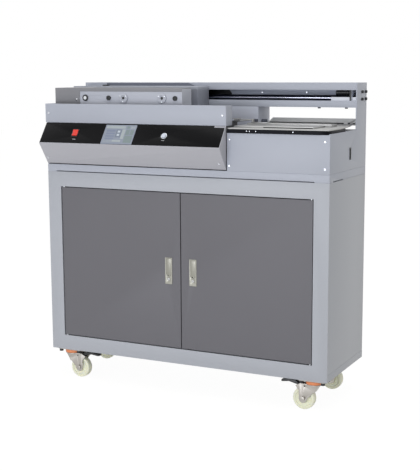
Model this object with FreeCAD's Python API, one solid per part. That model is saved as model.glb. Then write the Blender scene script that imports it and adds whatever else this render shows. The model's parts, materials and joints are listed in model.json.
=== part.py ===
import FreeCAD, Part
import math
import os

# Free-standing perfect-binding machine: a cabinet on castors, a control console,
# a book clamp that travels along a beam, milling and glue stations below its path
# and a lifting cover table with nip plates at the right.
# Millimetres, +Z up, front of the machine towards -Y, origin on the floor.

Vector = FreeCAD.Vector
ORIGIN = Vector(0, 0, 0)
X_AXIS = Vector(1, 0, 0)
Y_AXIS = Vector(0, 1, 0)
Z_AXIS = Vector(0, 0, 1)

# Whole machine
cabinet_width = 1050.0
cabinet_depth = 355.0
cabinet_height = 641.0
caster_height = 105.0
console_reach = 50.0

# Stock and fits
sheet = 2.0
plate = 4.0
clear = 0.3
run_fit = 0.05
overrun = 6.0

# Cabinet
base_rise = 24.0
base_sheet = 3.0
frame_border = 52.0
frame_return = 20.0

# Doors and their pivots
door_gap = 3.0
door_inset = 2.0
door_depth = 18.0
door_edge_r = 1.2
pivot_inset = 6.0
pivot_r = 3.0
pivot_head_r = 5.0
pivot_head_height = 3.0
pivot_reach = 6.0

# Door locks
lock_from_centre = 46.0
lock_rise = 320.0
lock_width = 27.0
lock_height = 91.0
lock_flange = 1.5
lock_body_width = 22.0
lock_body_height = 85.0
lock_body_depth = 13.0
paddle_width = 18.0
paddle_height = 56.0
paddle_thick = 4.0
paddle_margin = 4.0
paddle_play = 0.4
paddle_pin_r = 1.5
tongue_width = 8.0
tongue_thick = 3.0
tongue_reach = 17.0
tongue_slot_height = 19.0
button_r = 5.0
button_stand = 1.0
button_length = 8.0
button_travel = 2.5
button_rise = 17.0

# Castors
caster_plate_length = 92.0
caster_plate_width = 64.0
caster_plate_thick = 3.0
caster_from_left = 65.0
caster_from_right = 55.0
caster_from_front = 35.5
rear_caster_from_left = 86.0
rear_caster_from_right = 116.0
rear_caster_from_back = 73.5
caster_bolt_span_x = 74.0
caster_bolt_span_y = 46.0
caster_bolt_r = 4.0
caster_bolt_head = 9.0
raceway_r = 25.0
raceway_height = 13.0
kingpin_r = 5.0
kingpin_nut_r = 8.0
kingpin_nut_height = 5.0
dust_ring_r = 29.0
dust_ring_height = 10.0
dust_ring_drop = 2.0
crown_r = 27.0
crown_thick = 3.0
crown_front = 32.0
crown_back = 20.0
leg_thick = 2.5
leg_end_r = 14.0
leg_top_x = 44.0
leg_knee_x = 60.0
leg_knee_drop = 9.0
leg_waist_x = 48.0
leg_waist_drop = 25.0
leg_back_drop = 14.0
shield_low_x = -2.0
shield_low_drop = 27.0
wheel_r = 37.5
wheel_width = 25.0
wheel_edge_r = 5.0
wheel_trail = 34.0
wheel_hub_r = 12.0
wheel_hub_width = 30.0
wheel_groove_inner_r = 15.0
wheel_groove_outer_r = 28.0
wheel_groove_depth = 3.0
hub_gap = 0.5
axle_r = 4.0
axle_head_r = 7.0
axle_head_height = 4.5
front_left_angle = 0.0
front_right_angle = 180.0
rear_left_angle = 180.0
rear_right_angle = 0.0

# Brake pedals of the front castors
pedal_pivot_x = 28.0
pedal_pivot_drop = 8.0
pedal_pin_r = 2.5
pedal_width = 28.0
pedal_tip_x = 114.0
pedal_pad_x = 84.0
pedal_heel_x = 60.0
pedal_neck_x = 52.0
pedal_thick = 4.5
pedal_neck_lift = 3.5
pedal_heel_lift = 16.5
pedal_pad_lift = 11.0
pedal_pad_thick = 8.5
pedal_tip_lift = 7.0

# Base tray under the upper body
tray_gap = 3.0
tray_rise = 26.0
skid_left = 35.0
skid_right = 50.0
skid_front = 33.0
skid_rear_start = 130.0

# Upper body, heights above the cabinet's top and depths behind its front
front_panel_rise = 149.0
side_panel_rise = 152.0
beam_depth = 101.0
beam_bottom_rise = 225.0
beam_top_rise = 306.0
cover_top_rise = 236.0
cover_bottom_rise = 171.0
nose_rise = 102.0
console_bottom_rise = 29.0
console_width = 695.0
panel_gap = 3.0
panel_flange = 15.0
cover_flange = 12.0
cover_return = 48.0
cover_overhang = 4.5
housing_step = 2.0

# Console fascia and its controls, places measured up the slope from the nose
fascia_thick = 3.0
fascia_bottom_margin = 3.0
fascia_top_margin = 1.0
strip_length = 38.0
strip_height = 6.0
screen_x = 308.5
screen_s = 42.0
screen_width = 121.0
screen_height = 76.0
screen_proud = 1.2
screen_corner_r = 2.0
rocker_x = 134.0
rocker_s = 44.0
rocker_frame_width = 25.0
rocker_frame_height = 31.0
rocker_frame_proud = 1.5
rocker_frame_wall = 2.2
rocker_width = 20.0
rocker_height = 26.0
rocker_depth = 9.0
rocker_pin_r = 1.5
rocker_pin_drop = 1.2
rocker_tilt = 10.0
start_x = 482.0
start_s = 41.0
start_bezel_r = 11.0
start_bezel_proud = 2.0
start_r = 8.0
start_length = 12.0
start_proud = 3.0
start_wall = 1.0

# Beam, rods and drive screw
beam_wall = 3.0
slot_left = 30.0
slot_bottom_rise = 247.0
slot_top_rise = 282.0
rod_r = 8.0
front_rod_setback = 30.0
rear_rod_setback = 78.0
rod_rise = 256.0
screw_setback = 54.0
screw_r = 7.0
drive_motor_r = 24.0
drive_motor_length = 52.0
drive_motor_foot = 14.0
buffer_r = 9.0
buffer_length = 52.0
buffer_setback = 36.0
buffer_rise = 273.5
buffer_ribs = 6
buffer_groove = 1.2
buffer_washer = 4.0
stop_end_length = 16.0
stop_post_width = 7.0
stop_block_length = 66.0
stop_block_setback = 8.0
stop_block_depth = 12.0
stop_block_rise = 259.0

# Carriage with the book clamp, at its left home
carriage_left = 6.0
carriage_right = 510.0
carriage_bottom_rise = 209.0
clamp_front = 50.0
clamp_plate_thick = 10.0
clamp_plate_left = 14.0
clamp_plate_rise = 288.0
clamp_return_thick = 6.0
jaw_front = 106.0
jaw_thick = 12.0
jaw_left = 112.0
jaw_right = 500.0
jaw_lift = 3.0
jaw_rise = 274.0
jaw_boss_r = 14.0
jaw_boss_gap = 1.0
jaw_skin = 2.0
fixed_jaw_front = 165.0
fixed_jaw_thick = 12.0
rear_block_gap = 2.0
rear_block_rise = 282.0
rear_block_wall = 6.0
rear_cap_rise = 294.0
arm_right = 104.0
neck_width = 60.0
neck_left_first = 120.0
neck_left_second = 330.0
neck_lift = 3.0
bearing_front_gap = 5.0
bearing_rear_setback = 92.0
bearing_bottom_rise = 236.0
bearing_top_rise = 277.0
guide_shaft_first = 284.0
guide_shaft_second = 434.0
guide_shaft_r = 8.0
guide_shaft_rise = 256.0
flange_r = 17.0
flange_thick = 4.0
flange_eye_r = 8.5
flange_screw_r = 2.4
flange_screw_circle_r = 12.8
flange_screw_head = 1.8
tie_bolt_first = 226.0
tie_bolt_second = 485.0
tie_bolt_r = 8.0
tie_bolt_head = 6.0
tie_bolt_socket_r = 4.0
clamp_screw_x = 131.0
clamp_screw_r = 6.0
clamp_screw_ring_r = 11.0
clamp_screw_ring_thick = 4.0
cover_dark_left = 6.0
cover_dark_right = 108.0
cover_lip = 12.0
cover_roof_rise = 290.0
shield_left = 95.0
shield_right_top = 431.0
shield_right_bottom = 458.0
shield_rise = 305.0

# Milling station
mill_from_wall = 157.0
mill_y = 141.0
mill_motor_r = 42.0
mill_motor_rise = 160.0
mill_motor_foot_r = 55.0
mill_motor_foot = 8.0
mill_disc_r = 48.0
mill_disc_rise = 182.0
mill_disc_thick = 10.0
mill_shaft_r = 7.0
mill_shaft_seat = 25.0
mill_tooth_length = 9.0
mill_tooth_width = 6.0
mill_tooth_proud = 4.0
mill_teeth = 12

# Glue station
glue_from_wall = 97.0
glue_width = 50.0
glue_front = 96.0
glue_back = 186.0
glue_bottom_rise = 146.0
glue_top_rise = 181.0
glue_wall = 4.0
roller_r = 18.0
roller_rise = 172.0
roller_shaft_r = 5.0
roller_end_gap = 2.0
leg_plate = 5.0

# Cover table
table_gap = 3.0
table_side_gap = 2.0
table_taper_start = 90.0
table_taper_middle = 15.3
table_taper_end = 44.0
table_overhang = 2.0
tray_side_gap = 6.0
tray_depth = 160.0
tray_lift = 0.3
tray_top_rise = 162.0
tray_wall = 3.0
table_thick = 3.0
table_rear_gap = 10.0
tray_corner_r = 35.0
table_small_r = 6.0
post_r = 8.0
post_left_inset = 60.0
post_right_inset = 60.0
post_first_y = 40.0
post_second_y = 125.0
post_bottom_rise = 60.0
table_edge_height = 20.0
table_edge_end = 28.0
table_edge_chamfer = 15.0
edge_slot_inset = 4.0
edge_slot_end = 75.0
edge_slot_drop = 1.0
edge_slot_height = 4.0
edge_hole_first = 56.5
edge_hole_second = 38.5
edge_hole_length = 9.0
front_nip_inset = 6.0
front_nip_end = 70.0
front_nip_front = 36.0
front_nip_rear = 141.0
front_nip_thick = 5.0
front_nip_bevel = 3.0
rear_nip_inset = 2.0
rear_nip_end = 50.0
rear_nip_front = 150.0
rear_nip_depth = 55.0
rear_nip_thick = 9.0
rear_nip_bevel = 1.5

# Cover guide with its two clamp knobs
guide_inset = 16.0
guide_length = 60.0
guide_front_y = 151.0
guide_depth = 22.0
guide_thick = 3.0
guide_lug_width = 6.0
guide_lug_height = 13.0
guide_rod_length = 71.0
guide_rod_r = 1.5
guide_rod_spread = 8.0
guide_rod_rise = 10.5
guide_rod_slope = 7.5
guide_shoe_length = 26.0
guide_shoe_height = 14.5
guide_shoe_thick = 4.5
guide_shoe_toe = 10.0
guide_shoe_step = 7.0
knob_small_inset = 30.0
knob_small_r = 6.5
knob_big_inset = 60.0
knob_big_r = 10.0
knob_height = 9.5
knob_stem_r = 3.0
knob_ribs = 18
knob_rib_depth = 0.8

# Cable entry and electrics
cable_entry_y = 192.5
cable_entry_rise = 79.0
cable_entry_width = 14.0
cable_entry_height = 40.0
cable_entry_lip = 2.0
cable_entry_proud = 1.5
unit_left = 60.0
unit_right = 300.0
unit_front = 40.0
unit_rear_gap = 44.0
unit_height = 90.0

# Screws
screw_head_r = 3.5
screw_head_height = 1.6
screw_slot_width = 1.0
panel_screw_inset_x = 8.0
panel_screw_top = 128.0
panel_screw_bottom = 43.0
cover_screw_left = 9.0
cover_screw_right = 13.0
cover_screw_rise = 204.0
console_screw_left = 12.0
console_screw_right = 19.0
console_screw_share = 0.72
end_bolt_rear_gap = 15.0
end_bolt_span = 38.0
end_bolt_top = 276.0
end_bolt_bottom = 252.0
end_bolt_r = 5.0
end_bolt_head = 6.0
end_bolt_socket_r = 2.5
under_bolt_setback = 8.0
under_bolt_first = 134.0
under_bolt_second = 39.0
under_bolt_head = 4.0

# Planes worked out from the sizes above
left = -cabinet_width / 2
right = cabinet_width / 2
front = -(cabinet_depth - console_reach) / 2
back = front + cabinet_depth
cabinet_bottom = caster_height
cabinet_top = cabinet_bottom + cabinet_height
open_left = left + frame_border
open_right = right - frame_border
open_bottom = cabinet_bottom + frame_border
open_top = cabinet_top - frame_border
door_front = front + door_inset
door_bottom = open_bottom + door_gap
door_top = open_top - door_gap
tray_floor = cabinet_top + tray_gap + sheet
tray_top = cabinet_top + tray_rise
inner_left = left + plate
inner_right = right - plate
beam_y = back - beam_depth
front_rod_y = beam_y + front_rod_setback
screw_y = beam_y + screw_setback
rear_rod_y = beam_y + rear_rod_setback
housing_width = console_width + housing_step
mill_x = housing_width - mill_from_wall
glue_left = housing_width - glue_from_wall
glue_right = glue_left + glue_width
table_left = housing_width + table_gap
table_rear = back - table_rear_gap
slope_run = console_reach
slope_rise = cover_bottom_rise - nose_rise
slope_length = math.hypot(slope_run, slope_rise)
slope_angle = math.degrees(math.atan2(slope_rise, slope_run))
wheel_axle_z = wheel_r


def x_at(distance):
    return left + distance


def y_at(distance):
    return front + distance


def z_at(rise):
    return cabinet_top + rise


def box(x0, y0, z0, x1, y1, z1):
    return Part.makeBox(x1 - x0, y1 - y0, z1 - z0, Vector(x0, y0, z0))


def rod_x(x0, x1, y, z, radius):
    return Part.makeCylinder(radius, x1 - x0, Vector(x0, y, z), X_AXIS)


def rod_y(y0, y1, x, z, radius):
    return Part.makeCylinder(radius, y1 - y0, Vector(x, y0, z), Y_AXIS)


def rod_z(z0, z1, x, y, radius):
    return Part.makeCylinder(radius, z1 - z0, Vector(x, y, z0), Z_AXIS)


def prism_x(points, x0, x1):
    corners = [Vector(x0, y, z) for y, z in points]
    outline = Part.makePolygon(corners + corners[:1])
    return Part.Face(outline).extrude(X_AXIS * (x1 - x0))


def prism_y(points, y0, y1):
    corners = [Vector(x, y0, z) for x, z in points]
    outline = Part.makePolygon(corners + corners[:1])
    return Part.Face(outline).extrude(Y_AXIS * (y1 - y0))


def upright_edges(shape, x=None, y=None):
    found = []
    for edge in shape.Edges:
        ends = [vertex.Point for vertex in edge.Vertexes]
        if len(ends) != 2 or abs(ends[0].z - ends[1].z) < run_fit:
            continue
        same_line = math.hypot(ends[0].x - ends[1].x, ends[0].y - ends[1].y) < run_fit
        at_x = x is None or abs(ends[0].x - x) < run_fit
        at_y = y is None or abs(ends[0].y - y) < run_fit
        if same_line and at_x and at_y:
            found.append(edge)
    return found


def front_edges(shape, y):
    found = []
    for edge in shape.Edges:
        if all(abs(vertex.Point.y - y) < run_fit for vertex in edge.Vertexes):
            found.append(edge)
    return found


def turned(shape, x, y, degrees):
    copy = shape.copy()
    copy.rotate(ORIGIN, Z_AXIS, degrees)
    copy.translate(Vector(x, y, 0))
    return copy


def on_fascia(shape, x, s):
    # Built with x across, y up the slope and z out of the panel's face
    copy = shape.copy()
    copy.rotate(ORIGIN, X_AXIS, slope_angle)
    rise = s * slope_rise / slope_length
    run = s * slope_run / slope_length
    copy.translate(Vector(x_at(x), front - console_reach + run, z_at(nose_rise) + rise))
    return copy


def screw_head(radius, height, slot_width):
    head = Part.makeCylinder(radius, height)
    head = head.makeFillet(height / 2, [head.Edges[0]])
    slot = box(-radius, -slot_width / 2, height / 2, radius, slot_width / 2, height + overrun)
    return head.cut(slot)


def facing_front(shape, x, y, z):
    copy = shape.copy()
    copy.rotate(ORIGIN, X_AXIS, 90)
    copy.translate(Vector(x, y, z))
    return copy


def socket_head(radius, height, socket_r):
    head = Part.makeCylinder(radius, height)
    return head.cut(Part.makeCylinder(socket_r, height, Vector(0, 0, height / 2)))


def save(name, *shapes):
    solids = []
    for shape in shapes:
        solids.extend(shape.Solids)
    result = solids[0] if len(solids) == 1 else Part.makeCompound(solids)
    if not result.isValid():
        print("not valid:", name)
    result.exportStep("parts/" + name + ".step")


def cabinet_base():
    rim_front = front + sheet
    top = cabinet_bottom + base_rise
    tray = box(left, rim_front, cabinet_bottom, right, back, top)
    hollow = box(left + sheet, rim_front + sheet, cabinet_bottom + base_sheet,
                 right - sheet, back - sheet, top + overrun)
    tray = tray.cut(hollow)
    for x, y in caster_bolt_places():
        hole = rod_z(cabinet_bottom - overrun, cabinet_bottom + base_sheet + overrun,
                     x, y, caster_bolt_r + run_fit)
        tray = tray.cut(hole)
    save("cabinet_base", tray)


def cabinet_shell():
    bottom = cabinet_bottom + base_rise
    outer = box(left, front + sheet, bottom, right, back, cabinet_top)
    hollow = box(left + sheet, front, bottom - overrun, right - sheet, back - sheet,
                 cabinet_top - sheet)
    save("cabinet_shell", outer.cut(hollow))


def front_frame():
    face = box(left, front, cabinet_bottom, right, front + sheet, cabinet_top)
    ring = box(open_left - sheet, front, open_bottom - sheet,
               open_right + sheet, front + frame_return, open_top + sheet)
    opening = box(open_left, front - overrun, open_bottom,
                  open_right, front + frame_return + overrun, open_top)
    frame = face.fuse(ring).cut(opening)
    for x, y in pivot_places():
        hole = rod_z(open_bottom - overrun, open_top + overrun, x, y, pivot_r + run_fit)
        frame = frame.cut(hole)
    save("front_frame", frame.removeSplitter())


def pivot_places():
    y = door_front + pivot_inset
    reach = door_gap + pivot_inset
    return [(open_left + reach, y), (open_right - reach, y)]


def door_hinge_pins():
    pins = []
    for x, y in pivot_places():
        head_top = rod_z(open_top + sheet, open_top + sheet + pivot_head_height,
                         x, y, pivot_head_r)
        shank_top = rod_z(door_top - sheet - pivot_reach, open_top + sheet, x, y, pivot_r)
        pins.append(head_top.fuse(shank_top))
        head_low = rod_z(open_bottom - sheet - pivot_head_height, open_bottom - sheet,
                         x, y, pivot_head_r)
        collar = rod_z(open_bottom, door_bottom - clear, x, y, pivot_head_r)
        shank_low = rod_z(open_bottom - sheet, door_bottom + sheet + pivot_reach,
                          x, y, pivot_r)
        pins.append(head_low.fuse([collar, shank_low]))
    save("door_hinge_pins", *pins)


def door(name, x0, x1, pivot, lock_x):
    pan = box(x0, door_front, door_bottom, x1, door_front + door_depth, door_top)
    pan = pan.makeFillet(door_edge_r, front_edges(pan, door_front))
    hollow = box(x0 + sheet, door_front + sheet, door_bottom + sheet,
                 x1 - sheet, door_front + door_depth + overrun, door_top - sheet)
    pan = pan.cut(hollow)
    bore = rod_z(door_bottom - overrun, door_top + overrun, pivot[0], pivot[1],
                 pivot_r + run_fit)
    pan = pan.cut(bore)
    half_width = lock_body_width / 2 + run_fit
    half_height = lock_body_height / 2 + run_fit
    lock_z = cabinet_bottom + lock_rise
    window = box(lock_x - half_width, door_front - overrun, lock_z - half_height,
                 lock_x + half_width, door_front + sheet + overrun, lock_z + half_height)
    save(name, pan.cut(window))


def lock(side, x):
    z = cabinet_bottom + lock_rise
    face = door_front - lock_flange
    body_back = door_front + lock_body_depth
    flange = box(x - lock_width / 2, face, z - lock_height / 2,
                 x + lock_width / 2, door_front, z + lock_height / 2)
    flange = flange.makeFillet(lock_flange / 2, front_edges(flange, face))
    body = box(x - lock_body_width / 2, door_front, z - lock_body_height / 2,
               x + lock_body_width / 2, body_back, z + lock_body_height / 2)
    case = flange.fuse(body)

    paddle_top = z + lock_height / 2 - paddle_margin
    paddle_low = paddle_top - paddle_height
    pin_y = face + paddle_thick / 2
    pin_z = paddle_top - paddle_thick / 2
    half = paddle_width / 2
    pocket = box(x - half - paddle_play, face - overrun, paddle_low - paddle_play,
                 x + half + paddle_play, face + paddle_thick + paddle_play,
                 paddle_top + paddle_play)
    slot_half = tongue_width / 2 + paddle_play
    slot = box(x - slot_half, face, paddle_top - tongue_slot_height,
               x + slot_half, body_back + overrun, paddle_top + paddle_play)
    finger = box(x - half / 2, face - overrun, paddle_low - paddle_margin,
                 x + half / 2, face + paddle_thick + paddle_margin, paddle_low + paddle_margin)
    case = case.cut(pocket).cut(slot).cut(finger)
    pin_half = half + lock_flange
    case = case.cut(rod_x(x - pin_half - clear, x + pin_half + clear, pin_y, pin_z,
                          paddle_pin_r + run_fit))
    button_z = z - lock_height / 2 + button_rise
    button_back = face + button_length + button_travel + clear
    case = case.cut(rod_y(face - overrun, button_back, x, button_z, button_r + run_fit))
    save(side + "_lock_case", case)

    handle = box(x - half, face, paddle_low, x + half, face + paddle_thick, pin_z)
    handle = handle.fuse(rod_x(x - half, x + half, pin_y, pin_z, paddle_thick / 2))
    handle = handle.fuse(rod_x(x - pin_half, x + pin_half, pin_y, pin_z, paddle_pin_r))
    tongue = box(x - tongue_width / 2, pin_y, pin_z - tongue_thick / 2,
                 x + tongue_width / 2, pin_y + tongue_reach, pin_z + tongue_thick / 2)
    save(side + "_lock_paddle", handle.fuse(tongue).removeSplitter())

    button = rod_y(face - button_stand, face + button_length, x, button_z, button_r)
    button = button.makeFillet(button_stand / 2, front_edges(button, face - button_stand))
    save(side + "_lock_button", button)


def caster_places():
    y_front = front + caster_from_front
    y_back = back - rear_caster_from_back
    return {
        "front_left": (left + caster_from_left, y_front, front_left_angle),
        "front_right": (right - caster_from_right, y_front, front_right_angle),
        "rear_left": (left + rear_caster_from_left, y_back, rear_left_angle),
        "rear_right": (right - rear_caster_from_right, y_back, rear_right_angle),
    }


def caster_bolt_places():
    places = []
    for x, y, angle in caster_places().values():
        for side_x in (-1, 1):
            for side_y in (-1, 1):
                places.append((x + side_x * caster_bolt_span_x / 2,
                               y + side_y * caster_bolt_span_y / 2))
    return places


def caster_heights():
    plate_under = cabinet_bottom - caster_plate_thick
    cup_under = plate_under - raceway_height
    crown_top = cup_under - clear
    crown_under = crown_top - crown_thick
    return plate_under, cup_under, crown_top, crown_under


def caster_plates():
    plate_under, cup_under, crown_top, crown_under = caster_heights()
    plates = []
    for x, y, angle in caster_places().values():
        top = box(-caster_plate_length / 2, -caster_plate_width / 2, plate_under,
                  caster_plate_length / 2, caster_plate_width / 2, cabinet_bottom)
        corners = upright_edges(top)
        top = top.makeFillet(wheel_edge_r, corners)
        cup = rod_z(cup_under, plate_under, 0, 0, raceway_r)
        pin = rod_z(crown_under - clear, cup_under, 0, 0, kingpin_r)
        nut = rod_z(crown_under - clear - kingpin_nut_height, crown_under - clear,
                    0, 0, kingpin_nut_r)
        whole = top.fuse([cup, pin, nut])
        for side_x in (-1, 1):
            for side_y in (-1, 1):
                whole = whole.cut(rod_z(plate_under - overrun, cabinet_bottom + overrun,
                                        side_x * caster_bolt_span_x / 2,
                                        side_y * caster_bolt_span_y / 2,
                                        caster_bolt_r + run_fit))
        plates.append(turned(whole, x, y, 0))
    save("caster_plates", *plates)


def caster_dust_rings():
    plate_under = caster_heights()[0]
    top = plate_under - dust_ring_drop
    rings = []
    for x, y, angle in caster_places().values():
        ring = rod_z(top - dust_ring_height, top, x, y, dust_ring_r)
        bore = rod_z(top - dust_ring_height - overrun, top + overrun, x, y,
                     raceway_r + run_fit)
        rings.append(ring.cut(bore))
    save("caster_dust_rings", *rings)


def caster_fork(name, x, y, angle, braked):
    plate_under, cup_under, crown_top, crown_under = caster_heights()
    leg_inner = wheel_hub_width / 2 + hub_gap
    leg_outer = leg_inner + leg_thick
    crown = rod_z(crown_under, crown_top, 0, 0, crown_r)
    crown = crown.fuse(box(-crown_back, -leg_outer, crown_under,
                           crown_front, leg_outer, crown_top))
    # The pressed shield joins both legs on the side away from the wheel
    shield_top_x = -crown_back / 2
    shield_top_z = crown_under - leg_back_drop
    shield_low_z = crown_under - shield_low_drop
    shield = prism_y([
        (-crown_back, crown_top),
        (shield_top_x, shield_top_z),
        (shield_low_x, shield_low_z),
        (shield_low_x + leg_thick, shield_low_z),
        (shield_top_x + leg_thick, shield_top_z),
        (leg_thick - crown_back, crown_top),
    ], -leg_outer, leg_outer)
    fork = crown.fuse(shield)
    outline = [
        (-crown_back, crown_top),
        (leg_top_x, crown_top),
        (leg_knee_x, crown_top - leg_knee_drop),
        (leg_waist_x, crown_top - leg_waist_drop),
        (wheel_trail + leg_end_r, wheel_axle_z),
        (wheel_trail - leg_end_r, wheel_axle_z),
        (shield_top_x, shield_top_z),
    ]
    for side in (-1, 1):
        y0 = min(side * leg_inner, side * leg_outer)
        leg = prism_y(outline, y0, y0 + leg_thick)
        leg = leg.fuse(rod_y(y0, y0 + leg_thick, wheel_trail, wheel_axle_z, leg_end_r))
        fork = fork.fuse(leg)
    fork = fork.cut(rod_z(crown_under - overrun, crown_top + overrun, 0, 0,
                          kingpin_r + run_fit))
    fork = fork.cut(rod_y(-leg_outer - overrun, leg_outer + overrun, wheel_trail,
                          wheel_axle_z, axle_r + run_fit))
    if braked:
        pin_z = crown_under - pedal_pivot_drop + crown_thick
        fork = fork.cut(rod_y(-leg_outer - overrun, leg_outer + overrun, pedal_pivot_x,
                              pin_z, pedal_pin_r + run_fit))
    fork = fork.removeSplitter()
    axle = rod_y(-leg_outer, leg_outer, wheel_trail, wheel_axle_z, axle_r)
    head = rod_y(-leg_outer - axle_head_height, -leg_outer, wheel_trail, wheel_axle_z,
                 axle_head_r)
    nut = rod_y(leg_outer, leg_outer + axle_head_height, wheel_trail, wheel_axle_z,
                axle_head_r)
    bolt = axle.fuse(head)
    save("caster_fork_" + name, turned(fork, x, y, angle), turned(bolt, x, y, angle),
         turned(nut, x, y, angle))


def caster_wheel(name, x, y, angle):
    half = wheel_width / 2
    tyre = rod_y(-half, half, wheel_trail, wheel_axle_z, wheel_r)
    rims = [edge for edge in tyre.Edges if len(edge.Vertexes) == 1]
    tyre = tyre.makeFillet(wheel_edge_r, rims)
    for side in (-1, 1):
        y0 = half - wheel_groove_depth if side > 0 else -half - overrun
        y1 = half + overrun if side > 0 else wheel_groove_depth - half
        groove = rod_y(y0, y1, wheel_trail, wheel_axle_z, wheel_groove_outer_r)
        core = rod_y(y0, y1, wheel_trail, wheel_axle_z, wheel_groove_inner_r)
        tyre = tyre.cut(groove.cut(core))
    hub = rod_y(-wheel_hub_width / 2, wheel_hub_width / 2, wheel_trail, wheel_axle_z,
                wheel_hub_r)
    bore = rod_y(-wheel_hub_width, wheel_hub_width, wheel_trail, wheel_axle_z,
                 axle_r + run_fit)
    save("caster_wheel_" + name, turned(tyre.fuse(hub).cut(bore), x, y, angle))


def brake_pedal(name, x, y, angle):
    crown_under = caster_heights()[3]
    leg_outer = wheel_hub_width / 2 + hub_gap + leg_thick
    pin_z = crown_under - pedal_pivot_drop + crown_thick
    low = pin_z - pedal_thick / 2
    high = pin_z + pedal_thick / 2
    outline = [
        (pedal_pivot_x - pedal_thick, low),
        (pedal_neck_x, low + pedal_neck_lift),
        (pedal_pad_x, low + pedal_pad_lift),
        (pedal_tip_x, low + pedal_tip_lift),
        (pedal_tip_x, low + pedal_tip_lift + pedal_thick),
        (pedal_pad_x, low + pedal_pad_lift + pedal_pad_thick),
        (pedal_heel_x, low + pedal_heel_lift),
        (pedal_neck_x, high + pedal_neck_lift),
        (pedal_pivot_x - pedal_thick, high),
    ]
    arm = prism_y(outline, -pedal_width / 2, pedal_width / 2)
    tips = upright_edges(arm, x=pedal_tip_x)
    arm = arm.makeFillet(pedal_width / 3, tips)
    pin = rod_y(-leg_outer, leg_outer, pedal_pivot_x, pin_z, pedal_pin_r)
    save("brake_pedal_" + name, turned(arm.fuse(pin), x, y, angle))


def base_tray():
    wall_top = tray_top
    tray = box(left, front, cabinet_top + tray_gap, right, back, wall_top)
    hollow = box(left + sheet, front + sheet, tray_floor, right - sheet, back - sheet,
                 wall_top + overrun)
    tray = tray.cut(hollow)
    skids = [
        box(left, front, cabinet_top, left + skid_left, y_at(skid_front), tray_floor),
        box(right - skid_right, front, cabinet_top, right, y_at(skid_front), tray_floor),
        box(left, y_at(skid_rear_start), cabinet_top, left + skid_left, back, tray_floor),
        box(right - skid_right, y_at(skid_rear_start), cabinet_top, right, back, tray_floor),
    ]
    save("base_tray", tray.fuse(skids).removeSplitter())


def right_front_panel():
    x0 = x_at(console_width + panel_gap)
    face = box(x0, front, tray_top, right, front + sheet, z_at(front_panel_rise))
    flange = box(x0, front, tray_top, x0 + sheet, front + panel_flange,
                 z_at(front_panel_rise) - sheet)
    save("right_front_panel", face.fuse(flange).removeSplitter())


def right_end_frame():
    outline = [
        (front + sheet, tray_top),
        (back, tray_top),
        (back, z_at(beam_top_rise)),
        (beam_y, z_at(beam_top_rise)),
        (beam_y, z_at(side_panel_rise)),
        (front + sheet, z_at(side_panel_rise)),
    ]
    side = prism_x(outline, inner_right, right)
    half_width = cable_entry_width / 2 - cable_entry_lip
    half_height = cable_entry_height / 2 - cable_entry_lip
    y = y_at(cable_entry_y)
    z = z_at(cable_entry_rise)
    window = box(inner_right - overrun, y - half_width - run_fit, z - half_height - run_fit,
                 right + overrun, y + half_width + run_fit, z + half_height + run_fit)
    save("right_end_frame", side.cut(window))


def cable_entry():
    y = y_at(cable_entry_y)
    z = z_at(cable_entry_rise)
    half_width = cable_entry_width / 2
    half_height = cable_entry_height / 2
    lip = box(right, y - half_width, z - half_height,
              right + cable_entry_proud, y + half_width, z + half_height)
    neck = box(inner_right - cable_entry_proud, y - half_width + cable_entry_lip,
               z - half_height + cable_entry_lip, right,
               y + half_width - cable_entry_lip, z + half_height - cable_entry_lip)
    slot = box(inner_right - overrun, y - half_width + 2 * cable_entry_lip,
               z - half_height + 2 * cable_entry_lip, right + overrun,
               y + half_width - 2 * cable_entry_lip, z + half_height - 2 * cable_entry_lip)
    save("cable_entry", lip.fuse(neck).cut(slot))


def left_side_panel():
    # Its front edge stands behind the console and the cover, which lap over it
    outline = [
        (front + sheet, tray_top),
        (front + sheet, z_at(cover_top_rise)),
        (beam_y, z_at(cover_top_rise)),
        (beam_y, z_at(beam_top_rise)),
        (back, z_at(beam_top_rise)),
        (back, tray_top),
    ]
    save("left_side_panel", prism_x(outline, left, inner_left))


def rear_housing():
    x1 = x_at(housing_width)
    outer = box(inner_left, beam_y, tray_top, x1, back, z_at(beam_bottom_rise))
    hollow = box(inner_left + sheet, beam_y + sheet, tray_top - overrun,
                 x1 - sheet, back - sheet, z_at(beam_bottom_rise) + overrun)
    save("rear_housing", outer.cut(hollow))


def right_deck():
    x0 = x_at(housing_width)
    top = z_at(front_panel_rise)
    y0 = front + sheet
    deck = box(x0, y0, top - sheet, inner_right, back, top)
    rear = box(x0, back - sheet, tray_top, inner_right, back, top)
    lip = box(x0 + panel_gap, y0, top - panel_flange, inner_right, y0 + sheet, top)
    wall = box(x0, y0 + panel_flange, tray_top, x0 + sheet, back, top)
    whole = deck.fuse([rear, lip, wall])
    for x, y in post_places():
        whole = whole.cut(rod_z(top - overrun, top + overrun, x, y, post_r + run_fit))
    save("right_deck", whole.removeSplitter())


def control_unit():
    x0 = x_at(unit_left)
    x1 = x_at(unit_right)
    y0 = y_at(unit_front)
    y1 = beam_y - unit_rear_gap
    top = tray_floor + unit_height
    case = box(x0, y0, tray_floor, x1, y1, top)
    case = case.cut(box(x0 + sheet, y0 + sheet, tray_floor + sheet, x1 - sheet,
                        y1 - sheet, top + overrun))
    board_top = tray_floor + unit_height / 2
    board = box(x0 + sheet, y0 + sheet, board_top - sheet, x1 - sheet, y1 - sheet, board_top)
    supply = box(x0 + sheet, y0 + sheet, tray_floor + sheet, (x0 + x1) / 2,
                 y1 - sheet, board_top - sheet)
    lid = box(x0, y0, top, x1, y1, top + sheet)
    save("control_unit", case, board, supply, lid)


def slope_slab(s0, s1, depth0, depth1, x0, x1):
    # A slab parallel to the console's slope, between two depths below its face
    slab = box(0, s0, -depth1, x1 - x0, s1, -depth0)
    return on_fascia(slab, x0, 0)


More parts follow.
